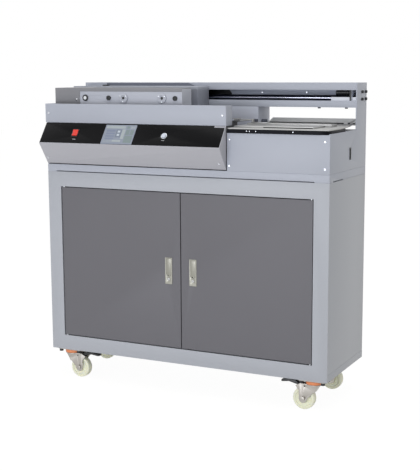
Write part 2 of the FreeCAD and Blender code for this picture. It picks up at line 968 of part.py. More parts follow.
def console_body():
    x0 = 0
    x1 = console_width
    upper = slope_slab(0, slope_length, fascia_thick, fascia_thick + sheet, x0, x1 - sheet)
    lip = slope_slab(0, fascia_bottom_margin, 0, fascia_thick + sheet, x0, x1 - sheet)
    strip_low = slope_length - fascia_top_margin - strip_height
    strip = slope_slab(strip_low, slope_length - fascia_top_margin, 0, fascia_thick,
                       x1 - sheet - strip_length, x1 - sheet)
    run = console_reach
    rise = nose_rise - console_bottom_rise
    length = math.hypot(run, rise)
    inner_y = sheet * rise / length
    inner_z = sheet * run / length
    lower = prism_x([
        (front - console_reach, z_at(nose_rise)),
        (front, z_at(console_bottom_rise)),
        (front + inner_y, z_at(console_bottom_rise) + inner_z),
        (front - console_reach + inner_y, z_at(nose_rise) + inner_z),
    ], x_at(x0), x_at(x1 - sheet))
    end = [
        (front - console_reach, z_at(nose_rise)),
        (front, z_at(console_bottom_rise)),
        (front + sheet, z_at(console_bottom_rise)),
        (front + sheet, z_at(cover_bottom_rise)),
        (front, z_at(cover_bottom_rise)),
    ]
    right_cap = prism_x(end, x_at(x1 - sheet), x_at(x1))
    left_cap = prism_x(end, x_at(x0), x_at(x0 + sheet))
    left_cap = left_cap.cut(slope_slab(fascia_bottom_margin, slope_length + overrun, -overrun,
                                       fascia_thick, -overrun, sheet + overrun))
    body = upper.fuse([lip, strip, lower, left_cap, right_cap])
    # Room for the front edge of the left side panel
    body = body.cut(box(left - overrun, front + sheet, tray_top, inner_left,
                        front + fascia_thick + overrun, z_at(cover_bottom_rise) + overrun))
    rocker_room = box(-rocker_width / 2 - clear, -rocker_height / 2 - clear, -rocker_depth,
                      rocker_width / 2 + clear, rocker_height / 2 + clear, overrun)
    start_room = Part.makeCylinder(start_r + start_wall + run_fit,
                                   2 * start_length, Vector(0, 0, -2 * start_length + sheet))
    body = body.cut(on_fascia(rocker_room, rocker_x, rocker_s))
    body = body.cut(on_fascia(start_room, start_x, start_s))
    save("console_body", body.removeSplitter())


def console_fascia():
    s0 = fascia_bottom_margin
    s1 = slope_length - fascia_top_margin
    glass = slope_slab(s0, s1, 0, fascia_thick, 0, console_width - sheet)
    half_width = rocker_frame_width / 2 - rocker_frame_wall
    half_height = rocker_frame_height / 2 - rocker_frame_wall
    opening = box(-half_width, -half_height, -fascia_thick - overrun,
                  half_width, half_height, overrun)
    start_hole = Part.makeCylinder(start_r + start_wall + run_fit, 2 * overrun,
                                   Vector(0, 0, -overrun))
    window = box(-screen_width / 2 - run_fit, -screen_height / 2 - run_fit,
                 -fascia_thick - overrun, screen_width / 2 + run_fit,
                 screen_height / 2 + run_fit, overrun)
    pin_hole = Part.makeCylinder(rocker_pin_r + run_fit, rocker_frame_width,
                                 Vector(-rocker_frame_width / 2, 0, -rocker_pin_drop),
                                 X_AXIS)
    corner = slope_slab(s1 - strip_height, s1 + overrun, -overrun, fascia_thick + overrun,
                        console_width - sheet - strip_length, console_width)
    glass = glass.cut(corner)
    glass = glass.cut(on_fascia(opening.fuse(pin_hole), rocker_x, rocker_s))
    glass = glass.cut(on_fascia(start_hole, start_x, start_s))
    glass = glass.cut(on_fascia(window, screen_x, screen_s))

    frame = box(-rocker_frame_width / 2, -rocker_frame_height / 2, 0,
                rocker_frame_width / 2, rocker_frame_height / 2, rocker_frame_proud)
    frame = frame.cut(opening).cut(pin_hole)
    ring = Part.makeCylinder(start_bezel_r, start_bezel_proud)
    ring = ring.fuse(Part.makeCylinder(start_r + start_wall, start_length,
                                       Vector(0, 0, -start_length)))
    bore = Part.makeCylinder(start_r + run_fit, start_length + start_bezel_proud + overrun,
                             Vector(0, 0, sheet - start_length))
    ring = ring.cut(bore)
    save("console_fascia", glass, on_fascia(frame, rocker_x, rocker_s),
         on_fascia(ring, start_x, start_s))


def touch_screen():
    panel = box(-screen_width / 2, -screen_height / 2, -fascia_thick,
                screen_width / 2, screen_height / 2, screen_proud)
    panel = panel.makeFillet(screen_corner_r, upright_edges(panel))
    save("touch_screen", on_fascia(panel, screen_x, screen_s))


def power_rocker():
    # A shallow saddle that tips about a pin in its bezel
    half = rocker_height / 2 - rocker_frame_wall
    top = rocker_frame_proud + rocker_pin_r
    tilt = math.tan(math.radians(rocker_tilt))
    outline = [
        (-half, -half * tilt),
        (0, -rocker_depth / 2),
        (half, half * tilt - rocker_pin_r),
        (half, top + half * tilt),
        (0, top - rocker_pin_r),
        (-half, top - half * tilt + rocker_pin_r),
    ]
    half_width = rocker_frame_width / 2 - rocker_frame_wall - clear
    saddle = Part.Face(Part.makePolygon(
        [Vector(-half_width, y, z) for y, z in outline + outline[:1]]))
    saddle = saddle.extrude(X_AXIS * (2 * half_width))
    pin_half = rocker_frame_width / 2 - clear
    pin = Part.makeCylinder(rocker_pin_r, 2 * pin_half,
                            Vector(-pin_half, 0, -rocker_pin_drop), X_AXIS)
    save("power_rocker", on_fascia(saddle.fuse(pin), rocker_x, rocker_s))


def start_button():
    top = start_bezel_proud + start_proud
    cap = Part.makeCylinder(start_r, start_length, Vector(0, 0, top - start_length))
    rims = [edge for edge in cap.Edges if abs(edge.CenterOfMass.z - top) < run_fit]
    cap = cap.makeFillet(start_wall, rims)
    save("start_button", on_fascia(cap, start_x, start_s))


def console_cover():
    x0 = left - cover_overhang
    x1 = x_at(console_width)
    z0 = z_at(cover_bottom_rise)
    z1 = z_at(cover_top_rise)
    face = box(x0, front, z0, x1, front + sheet, z1)
    top = box(inner_left, front, z1 - sheet, x1, front + cover_flange, z1)
    left_side = box(x0, front, z0, x0 + sheet, front + cover_return, z1)
    right_side = box(x1 - sheet, front, z0, x1, front + cover_return, z1)
    save("console_cover", face.fuse([top, left_side, right_side]).removeSplitter())


def beam_shell():
    z0 = z_at(beam_bottom_rise)
    z1 = z_at(beam_top_rise)
    outer = box(inner_left, beam_y, z0, inner_right, back, z1)
    hollow = box(inner_left - overrun, beam_y + beam_wall, z0 + beam_wall,
                 inner_right + overrun, back - beam_wall, z1 - beam_wall)
    slot = box(x_at(slot_left), beam_y - overrun, z_at(slot_bottom_rise),
               inner_right + overrun, beam_y + beam_wall + overrun, z_at(slot_top_rise))
    save("beam_shell", outer.cut(hollow).cut(slot))


def guide_rods():
    z = z_at(rod_rise)
    rods = [rod_x(inner_left, inner_right, y, z, rod_r)
            for y in (front_rod_y, rear_rod_y)]
    save("guide_rods", *rods)


def beam_stops():
    # A post between two blocks at the beam's end, with the buffer on its left face
    floor = z_at(beam_bottom_rise) + beam_wall
    post_right = inner_right - stop_end_length
    post_left = post_right - stop_post_width
    y0 = beam_y + stop_block_setback
    y1 = y0 + stop_block_depth
    top = z_at(stop_block_rise)
    left_block = box(post_left - stop_block_length, y0, floor, post_left, y1, top)
    right_block = box(post_right, y0, floor, inner_right, y1, top)
    post = box(post_left, beam_y + beam_wall, floor, post_right, back - beam_wall,
               z_at(slot_top_rise))
    for y in (front_rod_y, screw_y, rear_rod_y):
        post = post.cut(rod_x(post_left - overrun, post_right + overrun, y,
                              z_at(rod_rise), rod_r + clear))
    y = beam_y + buffer_setback
    z = z_at(buffer_rise)
    x0 = post_left - buffer_washer - buffer_length
    buffer = rod_x(x0, x0 + buffer_length, y, z, buffer_r)
    pitch = buffer_length / buffer_ribs
    for index in range(1, buffer_ribs):
        middle = x0 + pitch * index
        groove = rod_x(middle - buffer_groove, middle + buffer_groove, y, z,
                       buffer_r + overrun)
        core = rod_x(middle - buffer_groove, middle + buffer_groove, y, z,
                     buffer_r - buffer_groove)
        buffer = buffer.cut(groove.cut(core))
    washer = rod_x(post_left - buffer_washer, post_left, y, z, buffer_r - buffer_groove)
    save("beam_stops", left_block, right_block, post, buffer, washer)


def drive_screw():
    screw = rod_x(x_at(carriage_left) + drive_motor_length + clear, inner_right - clear,
                  screw_y, z_at(rod_rise), screw_r)
    save("drive_screw", screw)


def drive_motors():
    x0 = x_at(carriage_left)
    x1 = x0 + drive_motor_length
    y = screw_y
    z = z_at(rod_rise)
    travel = rod_x(x0, x1, y, z, drive_motor_r)
    foot = box(x0, y - drive_motor_foot, z_at(beam_bottom_rise) + beam_wall,
               x1, y + drive_motor_foot, z)
    travel = travel.fuse(foot)
    for rod_y_place in (front_rod_y, rear_rod_y):
        travel = travel.cut(rod_x(x0 - overrun, x1 + overrun, rod_y_place, z,
                                  rod_r + clear))
    mx = x_at(mill_x)
    my = y_at(mill_y)
    top = z_at(mill_motor_rise)
    mill = rod_z(tray_floor, top, mx, my, mill_motor_r)
    mill = mill.fuse(rod_z(tray_floor, tray_floor + mill_motor_foot, mx, my,
                           mill_motor_foot_r))
    mill = mill.cut(rod_z(top - mill_shaft_seat, top + overrun, mx, my,
                          mill_shaft_r + run_fit))
    save("drive_motors", travel, mill)


def milling_cutter():
    x = x_at(mill_x)
    y = y_at(mill_y)
    low = z_at(mill_disc_rise)
    high = low + mill_disc_thick
    disc = rod_z(low, high, x, y, mill_disc_r)
    teeth = []
    for index in range(mill_teeth):
        tooth = box(mill_disc_r - mill_tooth_length, -mill_tooth_width / 2, high - sheet,
                    mill_disc_r, mill_tooth_width / 2, high + mill_tooth_proud)
        teeth.append(turned(tooth, x, y, 360.0 * index / mill_teeth))
    shaft = rod_z(z_at(mill_motor_rise) - mill_shaft_seat + clear, low, x, y, mill_shaft_r)
    save("milling_cutter", disc.fuse(teeth + [shaft]))


def glue_tank():
    x0 = x_at(glue_left)
    x1 = x_at(glue_right)
    y0 = y_at(glue_front)
    y1 = y_at(glue_back)
    z0 = z_at(glue_bottom_rise)
    z1 = z_at(glue_top_rise)
    tank = box(x0, y0, z0, x1, y1, z1)
    tank = tank.cut(box(x0 + glue_wall, y0 + glue_wall, z0 + glue_wall,
                        x1 - glue_wall, y1 - glue_wall, z1 + overrun))
    middle = (x0 + x1) / 2
    tank = tank.cut(rod_y(y0 - overrun, y1 + overrun, middle, z_at(roller_rise),
                          roller_shaft_r + run_fit))
    legs = [box(x0, y0, tray_floor, x1, y0 + leg_plate, z0),
            box(x0, y1 - leg_plate, tray_floor, x1, y1, z0)]
    save("glue_tank", tank.fuse(legs).removeSplitter())


def glue_roller():
    x = (x_at(glue_left) + x_at(glue_right)) / 2
    y0 = y_at(glue_front)
    y1 = y_at(glue_back)
    z = z_at(roller_rise)
    inset = glue_wall + roller_end_gap
    drum = rod_y(y0 + inset, y1 - inset, x, z, roller_r)
    save("glue_roller", drum.fuse(rod_y(y0, y1, x, z, roller_shaft_r)))


def post_places():
    return [(x, y_at(y)) for x in (x_at(table_left + post_left_inset), right - post_right_inset)
            for y in (post_first_y, post_second_y)]


def table_tray():
    x0 = x_at(table_left)
    x1 = right - tray_side_gap
    y0 = front - table_overhang
    y1 = y_at(tray_depth)
    z0 = z_at(front_panel_rise) + tray_lift
    z1 = z_at(tray_top_rise)
    body = box(x0, y0, z0, x1, y1, z1)
    body = body.makeFillet(tray_corner_r, upright_edges(body, x=x1, y=y0))
    hollow = box(x0 + tray_wall, y0 + tray_wall, z0 - overrun,
                 x1 - tray_wall, y1 - tray_wall, z1 - tray_wall)
    hollow = hollow.makeFillet(tray_corner_r - tray_wall,
                               upright_edges(hollow, x=x1 - tray_wall, y=y0 + tray_wall))
    body = body.cut(hollow)
    posts = [rod_z(z_at(post_bottom_rise), z1 - tray_wall, x, y, post_r)
             for x, y in post_places()]
    save("table_tray", body.fuse(posts))


def cover_table():
    x0 = x_at(table_left)
    x1 = right - table_side_gap
    y0 = front - table_overhang
    y1 = table_rear
    z0 = z_at(tray_top_rise)
    taper_y = y_at(table_taper_start)
    corner = Vector(x1, taper_y, z0)
    bend = Part.Arc(corner, Vector(x1 - table_taper_middle, (taper_y + y1) / 2, z0),
                    Vector(x1 - table_taper_end, y1, z0))
    sides = Part.makePolygon([Vector(x1 - table_taper_end, y1, z0), Vector(x0, y1, z0),
                              Vector(x0, y0, z0), Vector(x1, y0, z0), corner])
    outline = Part.Wire(sides.Edges + [bend.toShape()])
    top = Part.Face(outline).extrude(Z_AXIS * table_thick)
    top = top.makeFillet(table_small_r, upright_edges(top, y=y0))

    # The rear edge stands up and has a long slot and two short ones
    low = z0 + table_thick
    high = low + table_edge_height
    edge_x1 = right - table_edge_end
    upright = prism_y([
        (x0, z0),
        (edge_x1, z0),
        (edge_x1, high),
        (x0 + table_edge_chamfer, high),
        (x0, high - table_edge_chamfer),
    ], y1 - table_thick, y1)
    slot_low = low + edge_slot_drop
    slot_high = slot_low + edge_slot_height
    slots = [(x0 + edge_slot_inset, right - edge_slot_end)]
    for end in (edge_hole_first, edge_hole_second):
        slots.append((right - end - edge_hole_length / 2, right - end + edge_hole_length / 2))
    for slot_x0, slot_x1 in slots:
        slot = box(slot_x0, y1 - table_thick - overrun, slot_low,
                   slot_x1, y1 + overrun, slot_high)
        upright = upright.cut(slot)
    save("cover_table", top.fuse(upright).removeSplitter())


def front_nip_plate():
    z0 = z_at(tray_top_rise) + table_thick + clear
    z1 = z0 + front_nip_thick
    y0 = y_at(front_nip_front)
    y1 = y_at(front_nip_rear)
    outline = [
        (y0, z0),
        (y1, z0),
        (y1, z1),
        (y0 + front_nip_bevel, z1),
        (y0, z1 - front_nip_bevel),
    ]
    save("front_nip_plate", prism_x(outline, x_at(table_left + front_nip_inset),
                                    right - front_nip_end))


def rear_nip_plate():
    y0 = y_at(rear_nip_front)
    y1 = y0 + rear_nip_depth
    z0 = z_at(tray_top_rise) + table_thick
    z1 = z0 + rear_nip_thick
    outline = [
        (y0, z0),
        (y1, z0),
        (y1, z1 - rear_nip_bevel),
        (y1 - rear_nip_bevel, z1),
        (y0 + rear_nip_bevel, z1),
        (y0, z1 - rear_nip_bevel),
    ]
    save("rear_nip_plate", prism_x(outline, x_at(table_left + rear_nip_inset),
                                   right - rear_nip_end))


def guide_top():
    return z_at(tray_top_rise) + table_thick + rear_nip_thick + clear


def knob_places():
    y = y_at(guide_front_y) + guide_depth / 2
    return {
        "left": (x_at(table_left + knob_small_inset), y, knob_small_r),
        "right": (x_at(table_left + knob_big_inset), y, knob_big_r),
    }


def cover_guide():
    z0 = guide_top()
    z1 = z0 + guide_thick
    x0 = x_at(table_left + guide_inset)
    x1 = x0 + guide_length
    y0 = y_at(guide_front_y)
    y1 = y0 + guide_depth
    middle = (y0 + y1) / 2
    strip = box(x0, y0, z0, x1, y1, z1)
    for x, y, radius in knob_places().values():
        strip = strip.cut(rod_z(z0 - overrun, z1 + overrun, x, y, knob_stem_r + run_fit))
    reach = guide_rod_spread / 2 + guide_rod_r
    lug = box(x0, middle - reach, z0, x0 + guide_lug_width, middle + reach,
              z0 + guide_lug_height)
    # One level rod and one that falls towards the shoe's toe
    shoe_x0 = x0 - guide_rod_length
    shoe_x1 = shoe_x0 + guide_shoe_length
    rod_z_place = z0 + guide_rod_rise
    level = rod_x(shoe_x1 - guide_shoe_length / 2, x0 + guide_lug_width / 2,
                  middle + guide_rod_spread / 2, rod_z_place, guide_rod_r)
    start = Vector(x0 + guide_lug_width / 2, middle - guide_rod_spread / 2, rod_z_place)
    finish = Vector(shoe_x0 + guide_shoe_toe, middle - guide_rod_spread / 2,
                    rod_z_place - guide_rod_slope)
    fall = finish - start
    slanted = Part.makeCylinder(guide_rod_r, fall.Length, start, fall)
    shoe = prism_y([
        (shoe_x0, z0 + guide_shoe_height - guide_shoe_thick),
        (shoe_x0 + guide_shoe_step, z0 + guide_shoe_height - guide_shoe_thick),
        (shoe_x0 + guide_shoe_step, z0 + sheet),
        (shoe_x0 + guide_shoe_toe, z0 + guide_rod_r / 2),
        (shoe_x1 - guide_shoe_toe, z0 + sheet),
        (shoe_x1, z0 + guide_shoe_height - guide_shoe_thick - sheet),
        (shoe_x1, z0 + guide_shoe_height),
        (shoe_x0, z0 + guide_shoe_height - sheet / 2),
    ], middle - reach, middle + reach)
    save("cover_guide", strip.fuse([lug, level, slanted, shoe]).removeSplitter())


def guide_knobs():
    low = guide_top() + guide_thick + clear
    high = low + knob_height
    for side, (x, y, head_r) in knob_places().items():
        corners = []
        for index in range(2 * knob_ribs):
            angle = math.pi * index / knob_ribs
            radius = head_r if index % 2 else head_r - knob_rib_depth
            corners.append(Vector(x + radius * math.cos(angle), y + radius * math.sin(angle),
                                  low))
        outline = Part.makePolygon(corners + corners[:1])
        head = Part.Face(outline).extrude(Z_AXIS * (high - low))
        stem = rod_z(guide_top(), low, x, y, knob_stem_r)
        save("guide_knob_" + side, head.fuse(stem))


def carriage_frame():
    x0 = x_at(carriage_left)
    x1 = x_at(carriage_right)
    y0 = y_at(fixed_jaw_front)
    y1 = beam_y - rear_block_gap
    z0 = z_at(carriage_bottom_rise)
    z1 = z_at(rear_block_rise)
    wall = rear_block_wall
    block = box(x0, y0, z0, x1, y1, z1)
    block = block.cut(box(x0 + wall, y0 + fixed_jaw_thick, z0 - overrun, x1 - wall,
                          y1 - wall, z1 - wall))
    arm_x0 = x_at(clamp_plate_left)
    arm_x1 = x_at(arm_right)
    arm_y0 = y_at(clamp_front + clamp_plate_thick)
    arm = box(arm_x0, arm_y0, z0, arm_x1, y0, z_at(clamp_plate_rise))
    arm = arm.cut(box(arm_x0 + wall, arm_y0 + wall, z0 - overrun, arm_x1 - wall,
                      y0 - wall, z_at(clamp_plate_rise) - wall))
    frame = block.fuse(arm)
    bearing_front = beam_y + beam_wall + bearing_front_gap
    bearing_back = beam_y + bearing_rear_setback
    for neck in (neck_left_first, neck_left_second):
        nx0 = x_at(neck)
        nx1 = nx0 + neck_width
        frame = frame.fuse(box(nx0, y1 - wall, z_at(slot_bottom_rise) + neck_lift,
                               nx1, bearing_front, z_at(bearing_top_rise)))
        frame = frame.fuse(box(nx0, bearing_front, z_at(bearing_bottom_rise),
                               nx1, bearing_back, z_at(bearing_top_rise)))
        for y, radius in ((front_rod_y, rod_r), (screw_y, screw_r), (rear_rod_y, rod_r)):
            frame = frame.cut(rod_x(nx0 - overrun, nx1 + overrun, y, z_at(rod_rise),
                                    radius + run_fit))
    save("carriage_frame", frame.removeSplitter())


def clamp_front_plate():
    y0 = y_at(clamp_front)
    y1 = y0 + clamp_plate_thick
    z0 = z_at(carriage_bottom_rise)
    z1 = z_at(clamp_plate_rise)
    x1 = x_at(carriage_right)
    face = box(x_at(clamp_plate_left), y0, z0, x1, y1, z1)
    side = box(x1 - clamp_return_thick, y1, z0, x1,
               y_at(jaw_front + jaw_thick), z1)
    face = face.fuse(side)
    hole = rod_y(y0 - overrun, y1 + overrun, x_at(clamp_screw_x),
                 z_at(guide_shaft_rise), clamp_screw_r + run_fit)
    save("clamp_front_plate", face.cut(hole).removeSplitter())


def shaft_end():
    # The shafts and the screw stop inside the jaw, so the book gap stays clear
    return y_at(jaw_front + jaw_thick) - jaw_skin - clear


def clamp_fittings():
    y0 = y_at(clamp_front)
    z = z_at(guide_shaft_rise)
    pieces = []
    for place in (guide_shaft_first, guide_shaft_second):
        x = x_at(place)
        pieces.append(rod_y(y0 + clamp_plate_thick, shaft_end(), x, z, guide_shaft_r))
        flange = rod_y(y0 - flange_thick, y0, x, z, flange_r)
        flange = flange.cut(rod_y(y0 - flange_thick - overrun, y0 - flange_thick / 2,
                                  x, z, flange_eye_r))
        pieces.append(flange)
        for angle in (-90, 30, 150):
            dx = flange_screw_circle_r * math.cos(math.radians(angle))
            dz = flange_screw_circle_r * math.sin(math.radians(angle))
            head = rod_y(y0 - flange_thick - flange_screw_head, y0 - flange_thick,
                         x + dx, z + dz, flange_screw_r)
            pieces.append(head)
    for place in (tie_bolt_first, tie_bolt_second):
        head = socket_head(tie_bolt_r, tie_bolt_head, tie_bolt_socket_r)
        pieces.append(facing_front(head, x_at(place), y0, z))
    ring = rod_y(y0 - clamp_screw_ring_thick, y0, x_at(clamp_screw_x), z,
                 clamp_screw_ring_r)
    ring = ring.cut(rod_y(y0 - overrun, y0 + overrun, x_at(clamp_screw_x), z,
                          clamp_screw_r + run_fit))
    pieces.append(ring)
    save("clamp_fittings", *pieces)


def clamp_screw():
    y0 = y_at(clamp_front) - clamp_screw_ring_thick - clear
    save("clamp_screw", rod_y(y0, shaft_end(), x_at(clamp_screw_x),
                              z_at(guide_shaft_rise), clamp_screw_r))


def moving_jaw():
    y0 = y_at(jaw_front)
    y1 = y0 + jaw_thick
    z = z_at(guide_shaft_rise)
    jaw = box(x_at(jaw_left), y0, z_at(carriage_bottom_rise + jaw_lift),
              x_at(jaw_right), y1, z_at(jaw_rise))
    places = ((guide_shaft_first, guide_shaft_r), (guide_shaft_second, guide_shaft_r),
              (clamp_screw_x, clamp_screw_r))
    boss_front = y_at(clamp_front) + clamp_plate_thick + jaw_boss_gap
    for place, radius in places:
        jaw = jaw.fuse(rod_y(boss_front, y0, x_at(place), z, jaw_boss_r))
    for place, radius in places:
        jaw = jaw.cut(rod_y(boss_front - overrun, y1 - jaw_skin, x_at(place), z,
                            radius + run_fit))
    save("moving_jaw", jaw)


def clamp_cover():
    x0 = x_at(cover_dark_left)
    x1 = x_at(carriage_right)
    x_dark = x_at(cover_dark_right)
    y0 = y_at(clamp_front) - sheet
    y_roof = y_at(jaw_front + jaw_thick)
    y_gap = y_at(fixed_jaw_front)
    z0 = z_at(carriage_bottom_rise)
    z1 = z_at(cover_roof_rise)
    z_lip = z1 - cover_lip
    roof = box(x0, y0, z1 - sheet, x1, y_roof, z1)
    roof_left = box(x0, y0, z1 - sheet, x_dark, y_gap, z1)
    face = box(x0, y0, z0, x_dark, y0 + sheet, z1)
    lip = box(x0, y0, z_lip, x1, y0 + sheet, z1)
    side = box(x0, y0, z0, x0 + sheet, y_gap, z1)
    front_cover = roof.fuse([roof_left, face, lip, side]).removeSplitter()

    rear_z0 = z_at(rear_block_rise)
    rear_z1 = z_at(rear_cap_rise)
    rear_y1 = beam_y - rear_block_gap
    cap = box(x0, y_gap, rear_z0, x1, rear_y1, rear_z1)
    cap = cap.cut(box(x0 + sheet, y_gap + sheet, rear_z0 - overrun, x1 - sheet,
                      rear_y1 - sheet, rear_z1 - sheet))
    shield = prism_y([
        (x_at(shield_left), rear_z1),
        (x_at(shield_right_bottom), rear_z1),
        (x_at(shield_right_top), z_at(shield_rise)),
        (x_at(shield_left), z_at(shield_rise)),
    ], rear_y1 - sheet, rear_y1)
    save("clamp_cover", front_cover, cap.fuse(shield).removeSplitter())


def bolts_and_screws():
    pieces = []
    plate_under = caster_heights()[0]
    for x, y in caster_bolt_places():
        shank = rod_z(plate_under, cabinet_bottom + base_sheet, x, y, caster_bolt_r)
        head = rod_z(plate_under - caster_bolt_head, plate_under, x, y, axle_head_r)
        pieces.append(shank.fuse(head))
        pieces.append(rod_z(cabinet_bottom + base_sheet,
                            cabinet_bottom + base_sheet + axle_head_height,
                            x, y, axle_head_r))
    head = screw_head(screw_head_r, screw_head_height, screw_slot_width)
    panel_left = x_at(console_width + panel_gap) + panel_screw_inset_x
    for x in (panel_left, right - 2 * panel_screw_inset_x):
        for rise in (panel_screw_bottom, panel_screw_top):
            pieces.append(facing_front(head, x, front, z_at(rise)))
    for place in (cover_screw_left, console_width - cover_screw_right):
        pieces.append(facing_front(head, x_at(place), front, z_at(cover_screw_rise)))
    lower_angle = math.degrees(math.atan2(nose_rise - console_bottom_rise, console_reach))
    for place in (console_screw_left, console_width - console_screw_right):
        copy = head.copy()
        copy.rotate(ORIGIN, X_AXIS, 180 - lower_angle)
        share = console_screw_share
        copy.translate(Vector(x_at(place), front - console_reach * (1 - share),
                              z_at(nose_rise - (nose_rise - console_bottom_rise) * share)))
        pieces.append(copy)
    for y in (back - end_bolt_rear_gap - end_bolt_span, back - end_bolt_rear_gap):
        for rise in (end_bolt_bottom, end_bolt_top):
            bolt = socket_head(end_bolt_r, end_bolt_head, end_bolt_socket_r)
            bolt.rotate(ORIGIN, Y_AXIS, 90)
            bolt.translate(Vector(right, y, z_at(rise)))
            pieces.append(bolt)
    for place in (under_bolt_first, under_bolt_second):
        pieces.append(rod_z(z_at(beam_bottom_rise) - under_bolt_head,
                            z_at(beam_bottom_rise), right - place,
                            beam_y + under_bolt_setback, end_bolt_r))
    save("bolts_and_screws", *pieces)


def build():
    os.makedirs("parts", exist_ok=True)
    cabinet_base()
    cabinet_shell()
    front_frame()
    door_hinge_pins()
    middle = (open_left + open_right) / 2
    pivots = pivot_places()
    door("left_door", open_left + door_gap, middle - door_gap / 2, pivots[0],
         middle - lock_from_centre)
    door("right_door", middle + door_gap / 2, open_right - door_gap, pivots[1],
         middle + lock_from_centre)
    lock("left", middle - lock_from_centre)
    lock("right", middle + lock_from_centre)
    caster_plates()
    caster_dust_rings()
    for name, (x, y, angle) in caster_places().items():
        braked = name.startswith("front")
        caster_fork(name, x, y, angle, braked)
        caster_wheel(name, x, y, angle)
        if braked:
            brake_pedal(name, x, y, angle)
    base_tray()
    right_front_panel()
    right_end_frame()
    cable_entry()
    left_side_panel()
    rear_housing()
    right_deck()
    control_unit()
    console_body()
    console_fascia()
    touch_screen()
    power_rocker()
    start_button()
    console_cover()
    beam_shell()
    guide_rods()
    beam_stops()
    drive_screw()
    drive_motors()
    milling_cutter()
    glue_tank()
    glue_roller()
    table_tray()
    cover_table()
    front_nip_plate()
    rear_nip_plate()
    cover_guide()
    guide_knobs()
    carriage_frame()
    clamp_front_plate()
    clamp_fittings()
    clamp_screw()
    moving_jaw()
    clamp_cover()
    bolts_and_screws()


build()
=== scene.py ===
import json
import math

import bmesh
import bpy
from mathutils import Matrix, Vector


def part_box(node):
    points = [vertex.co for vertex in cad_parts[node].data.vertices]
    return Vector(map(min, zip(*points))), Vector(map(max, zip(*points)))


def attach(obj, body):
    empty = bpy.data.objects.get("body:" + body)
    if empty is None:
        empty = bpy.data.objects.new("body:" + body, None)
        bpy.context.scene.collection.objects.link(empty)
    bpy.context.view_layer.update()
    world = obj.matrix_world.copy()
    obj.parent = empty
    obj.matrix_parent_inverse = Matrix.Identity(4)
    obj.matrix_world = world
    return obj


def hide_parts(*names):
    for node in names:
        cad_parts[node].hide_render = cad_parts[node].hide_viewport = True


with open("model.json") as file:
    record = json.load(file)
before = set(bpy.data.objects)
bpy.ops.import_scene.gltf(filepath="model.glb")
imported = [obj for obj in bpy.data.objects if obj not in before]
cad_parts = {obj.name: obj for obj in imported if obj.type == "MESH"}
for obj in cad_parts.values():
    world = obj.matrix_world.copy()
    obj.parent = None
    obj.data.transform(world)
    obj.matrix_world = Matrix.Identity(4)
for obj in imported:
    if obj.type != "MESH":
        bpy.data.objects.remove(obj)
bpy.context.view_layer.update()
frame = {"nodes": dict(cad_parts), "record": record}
nodes = frame["nodes"]
record = frame["record"]


# Viewpoint
# The photograph was taken from the operator's right at chest height, looking
# slightly down at the front of the machine.
eye = Vector((1.6251, -3.2215, 1.0943))
turn_left = math.radians(26.257)
tilt_down = math.radians(8.933)
lean = math.radians(0.263)
level = math.pi / 2
camera = bpy.data.objects.new("camera", bpy.data.cameras.new("camera"))
camera.data.sensor_width = 36.0
camera.data.lens = 80.32
camera.data.clip_end = 50.0
camera.matrix_world = (Matrix.Translation(eye)
                       @ Matrix.Rotation(turn_left, 4, "Z")
                       @ Matrix.Rotation(level - tilt_down, 4, "X")
                       @ Matrix.Rotation(-lean, 4, "Z"))
bpy.context.scene.collection.objects.link(camera)
bpy.context.scene.camera = camera
bpy.context.scene.view_settings.view_transform = "Standard"


# Studio: a pale floor that runs out of sight, an even pale surround and three
# large soft lamps. Camera, mirror and glass rays see the surround as white.
surround_level = 0.62
floor_half_width = 12.0
floor_glow_level = 1.06
floor_glow_share = 0.9
# Name, place, aim, width in metres, power in watts and tint of each lamp
lamps = (
    ("lamp_front", (0.15, -5.2, 0.36), (-0.2, 0, 0.4), 3.4, 118, "F2F6FF"),
    ("lamp_low", (-0.6, -3.0, 0.1), (-0.1, 0, 0.1), 1.6, 19, "F6F8FF"),
    ("lamp_above", (0.2, 0.0, 3.4), (0, 0, 0.9), 2.6, 30, "FFFFFF"))


def linear(hex_colour):
    """Turns an sRGB hex colour into the linear values that a shader takes."""
    channels = [int(hex_colour[i:i + 2], 16) / 255 for i in (0, 2, 4)]
    return tuple(c / 12.92 if c <= 0.04045 else ((c + 0.055) / 1.055) ** 2.4
                 for c in channels) + (1.0,)


def add_node(tree, kind, values=None, links=None, **settings):
    """Adds a shader node, sets its sockets and links what feeds them."""
    new = tree.nodes.new(kind)
    for key, value in settings.items():
        setattr(new, key, value)
    for socket, value in (values or {}).items():
        new.inputs[socket].default_value = value
    for socket, source in (links or {}).items():
        tree.links.new(source, new.inputs[socket])
    return new


def seen_directly(tree):
    """1 for rays from the camera, a mirror or glass, 0 for rays that light the object."""
    path = add_node(tree, "ShaderNodeLightPath")
    mirror = add_node(tree, "ShaderNodeMath", operation="MAXIMUM", links={
        0: path.outputs["Is Camera Ray"], 1: path.outputs["Is Glossy Ray"]})
    return add_node(tree, "ShaderNodeMath", operation="MAXIMUM", links={
        0: mirror.outputs[0], 1: path.outputs["Is Transmission Ray"]}).outputs[0]


surround = bpy.data.worlds.new("surround")
surround.use_nodes = True
sky = surround.node_tree
sky.nodes.clear()
dim = add_node(sky, "ShaderNodeBackground",
               {"Color": linear("EEEEEC"), "Strength": surround_level})
bright = add_node(sky, "ShaderNodeBackground", {"Color": linear("FFFFFF"), "Strength": 1.0})
mixed = add_node(sky, "ShaderNodeMixShader", links={
    0: seen_directly(sky), 1: dim.outputs[0], 2: bright.outputs[0]})
add_node(sky, "ShaderNodeOutputWorld", links={"Surface": mixed.outputs[0]})
bpy.context.scene.world = surround

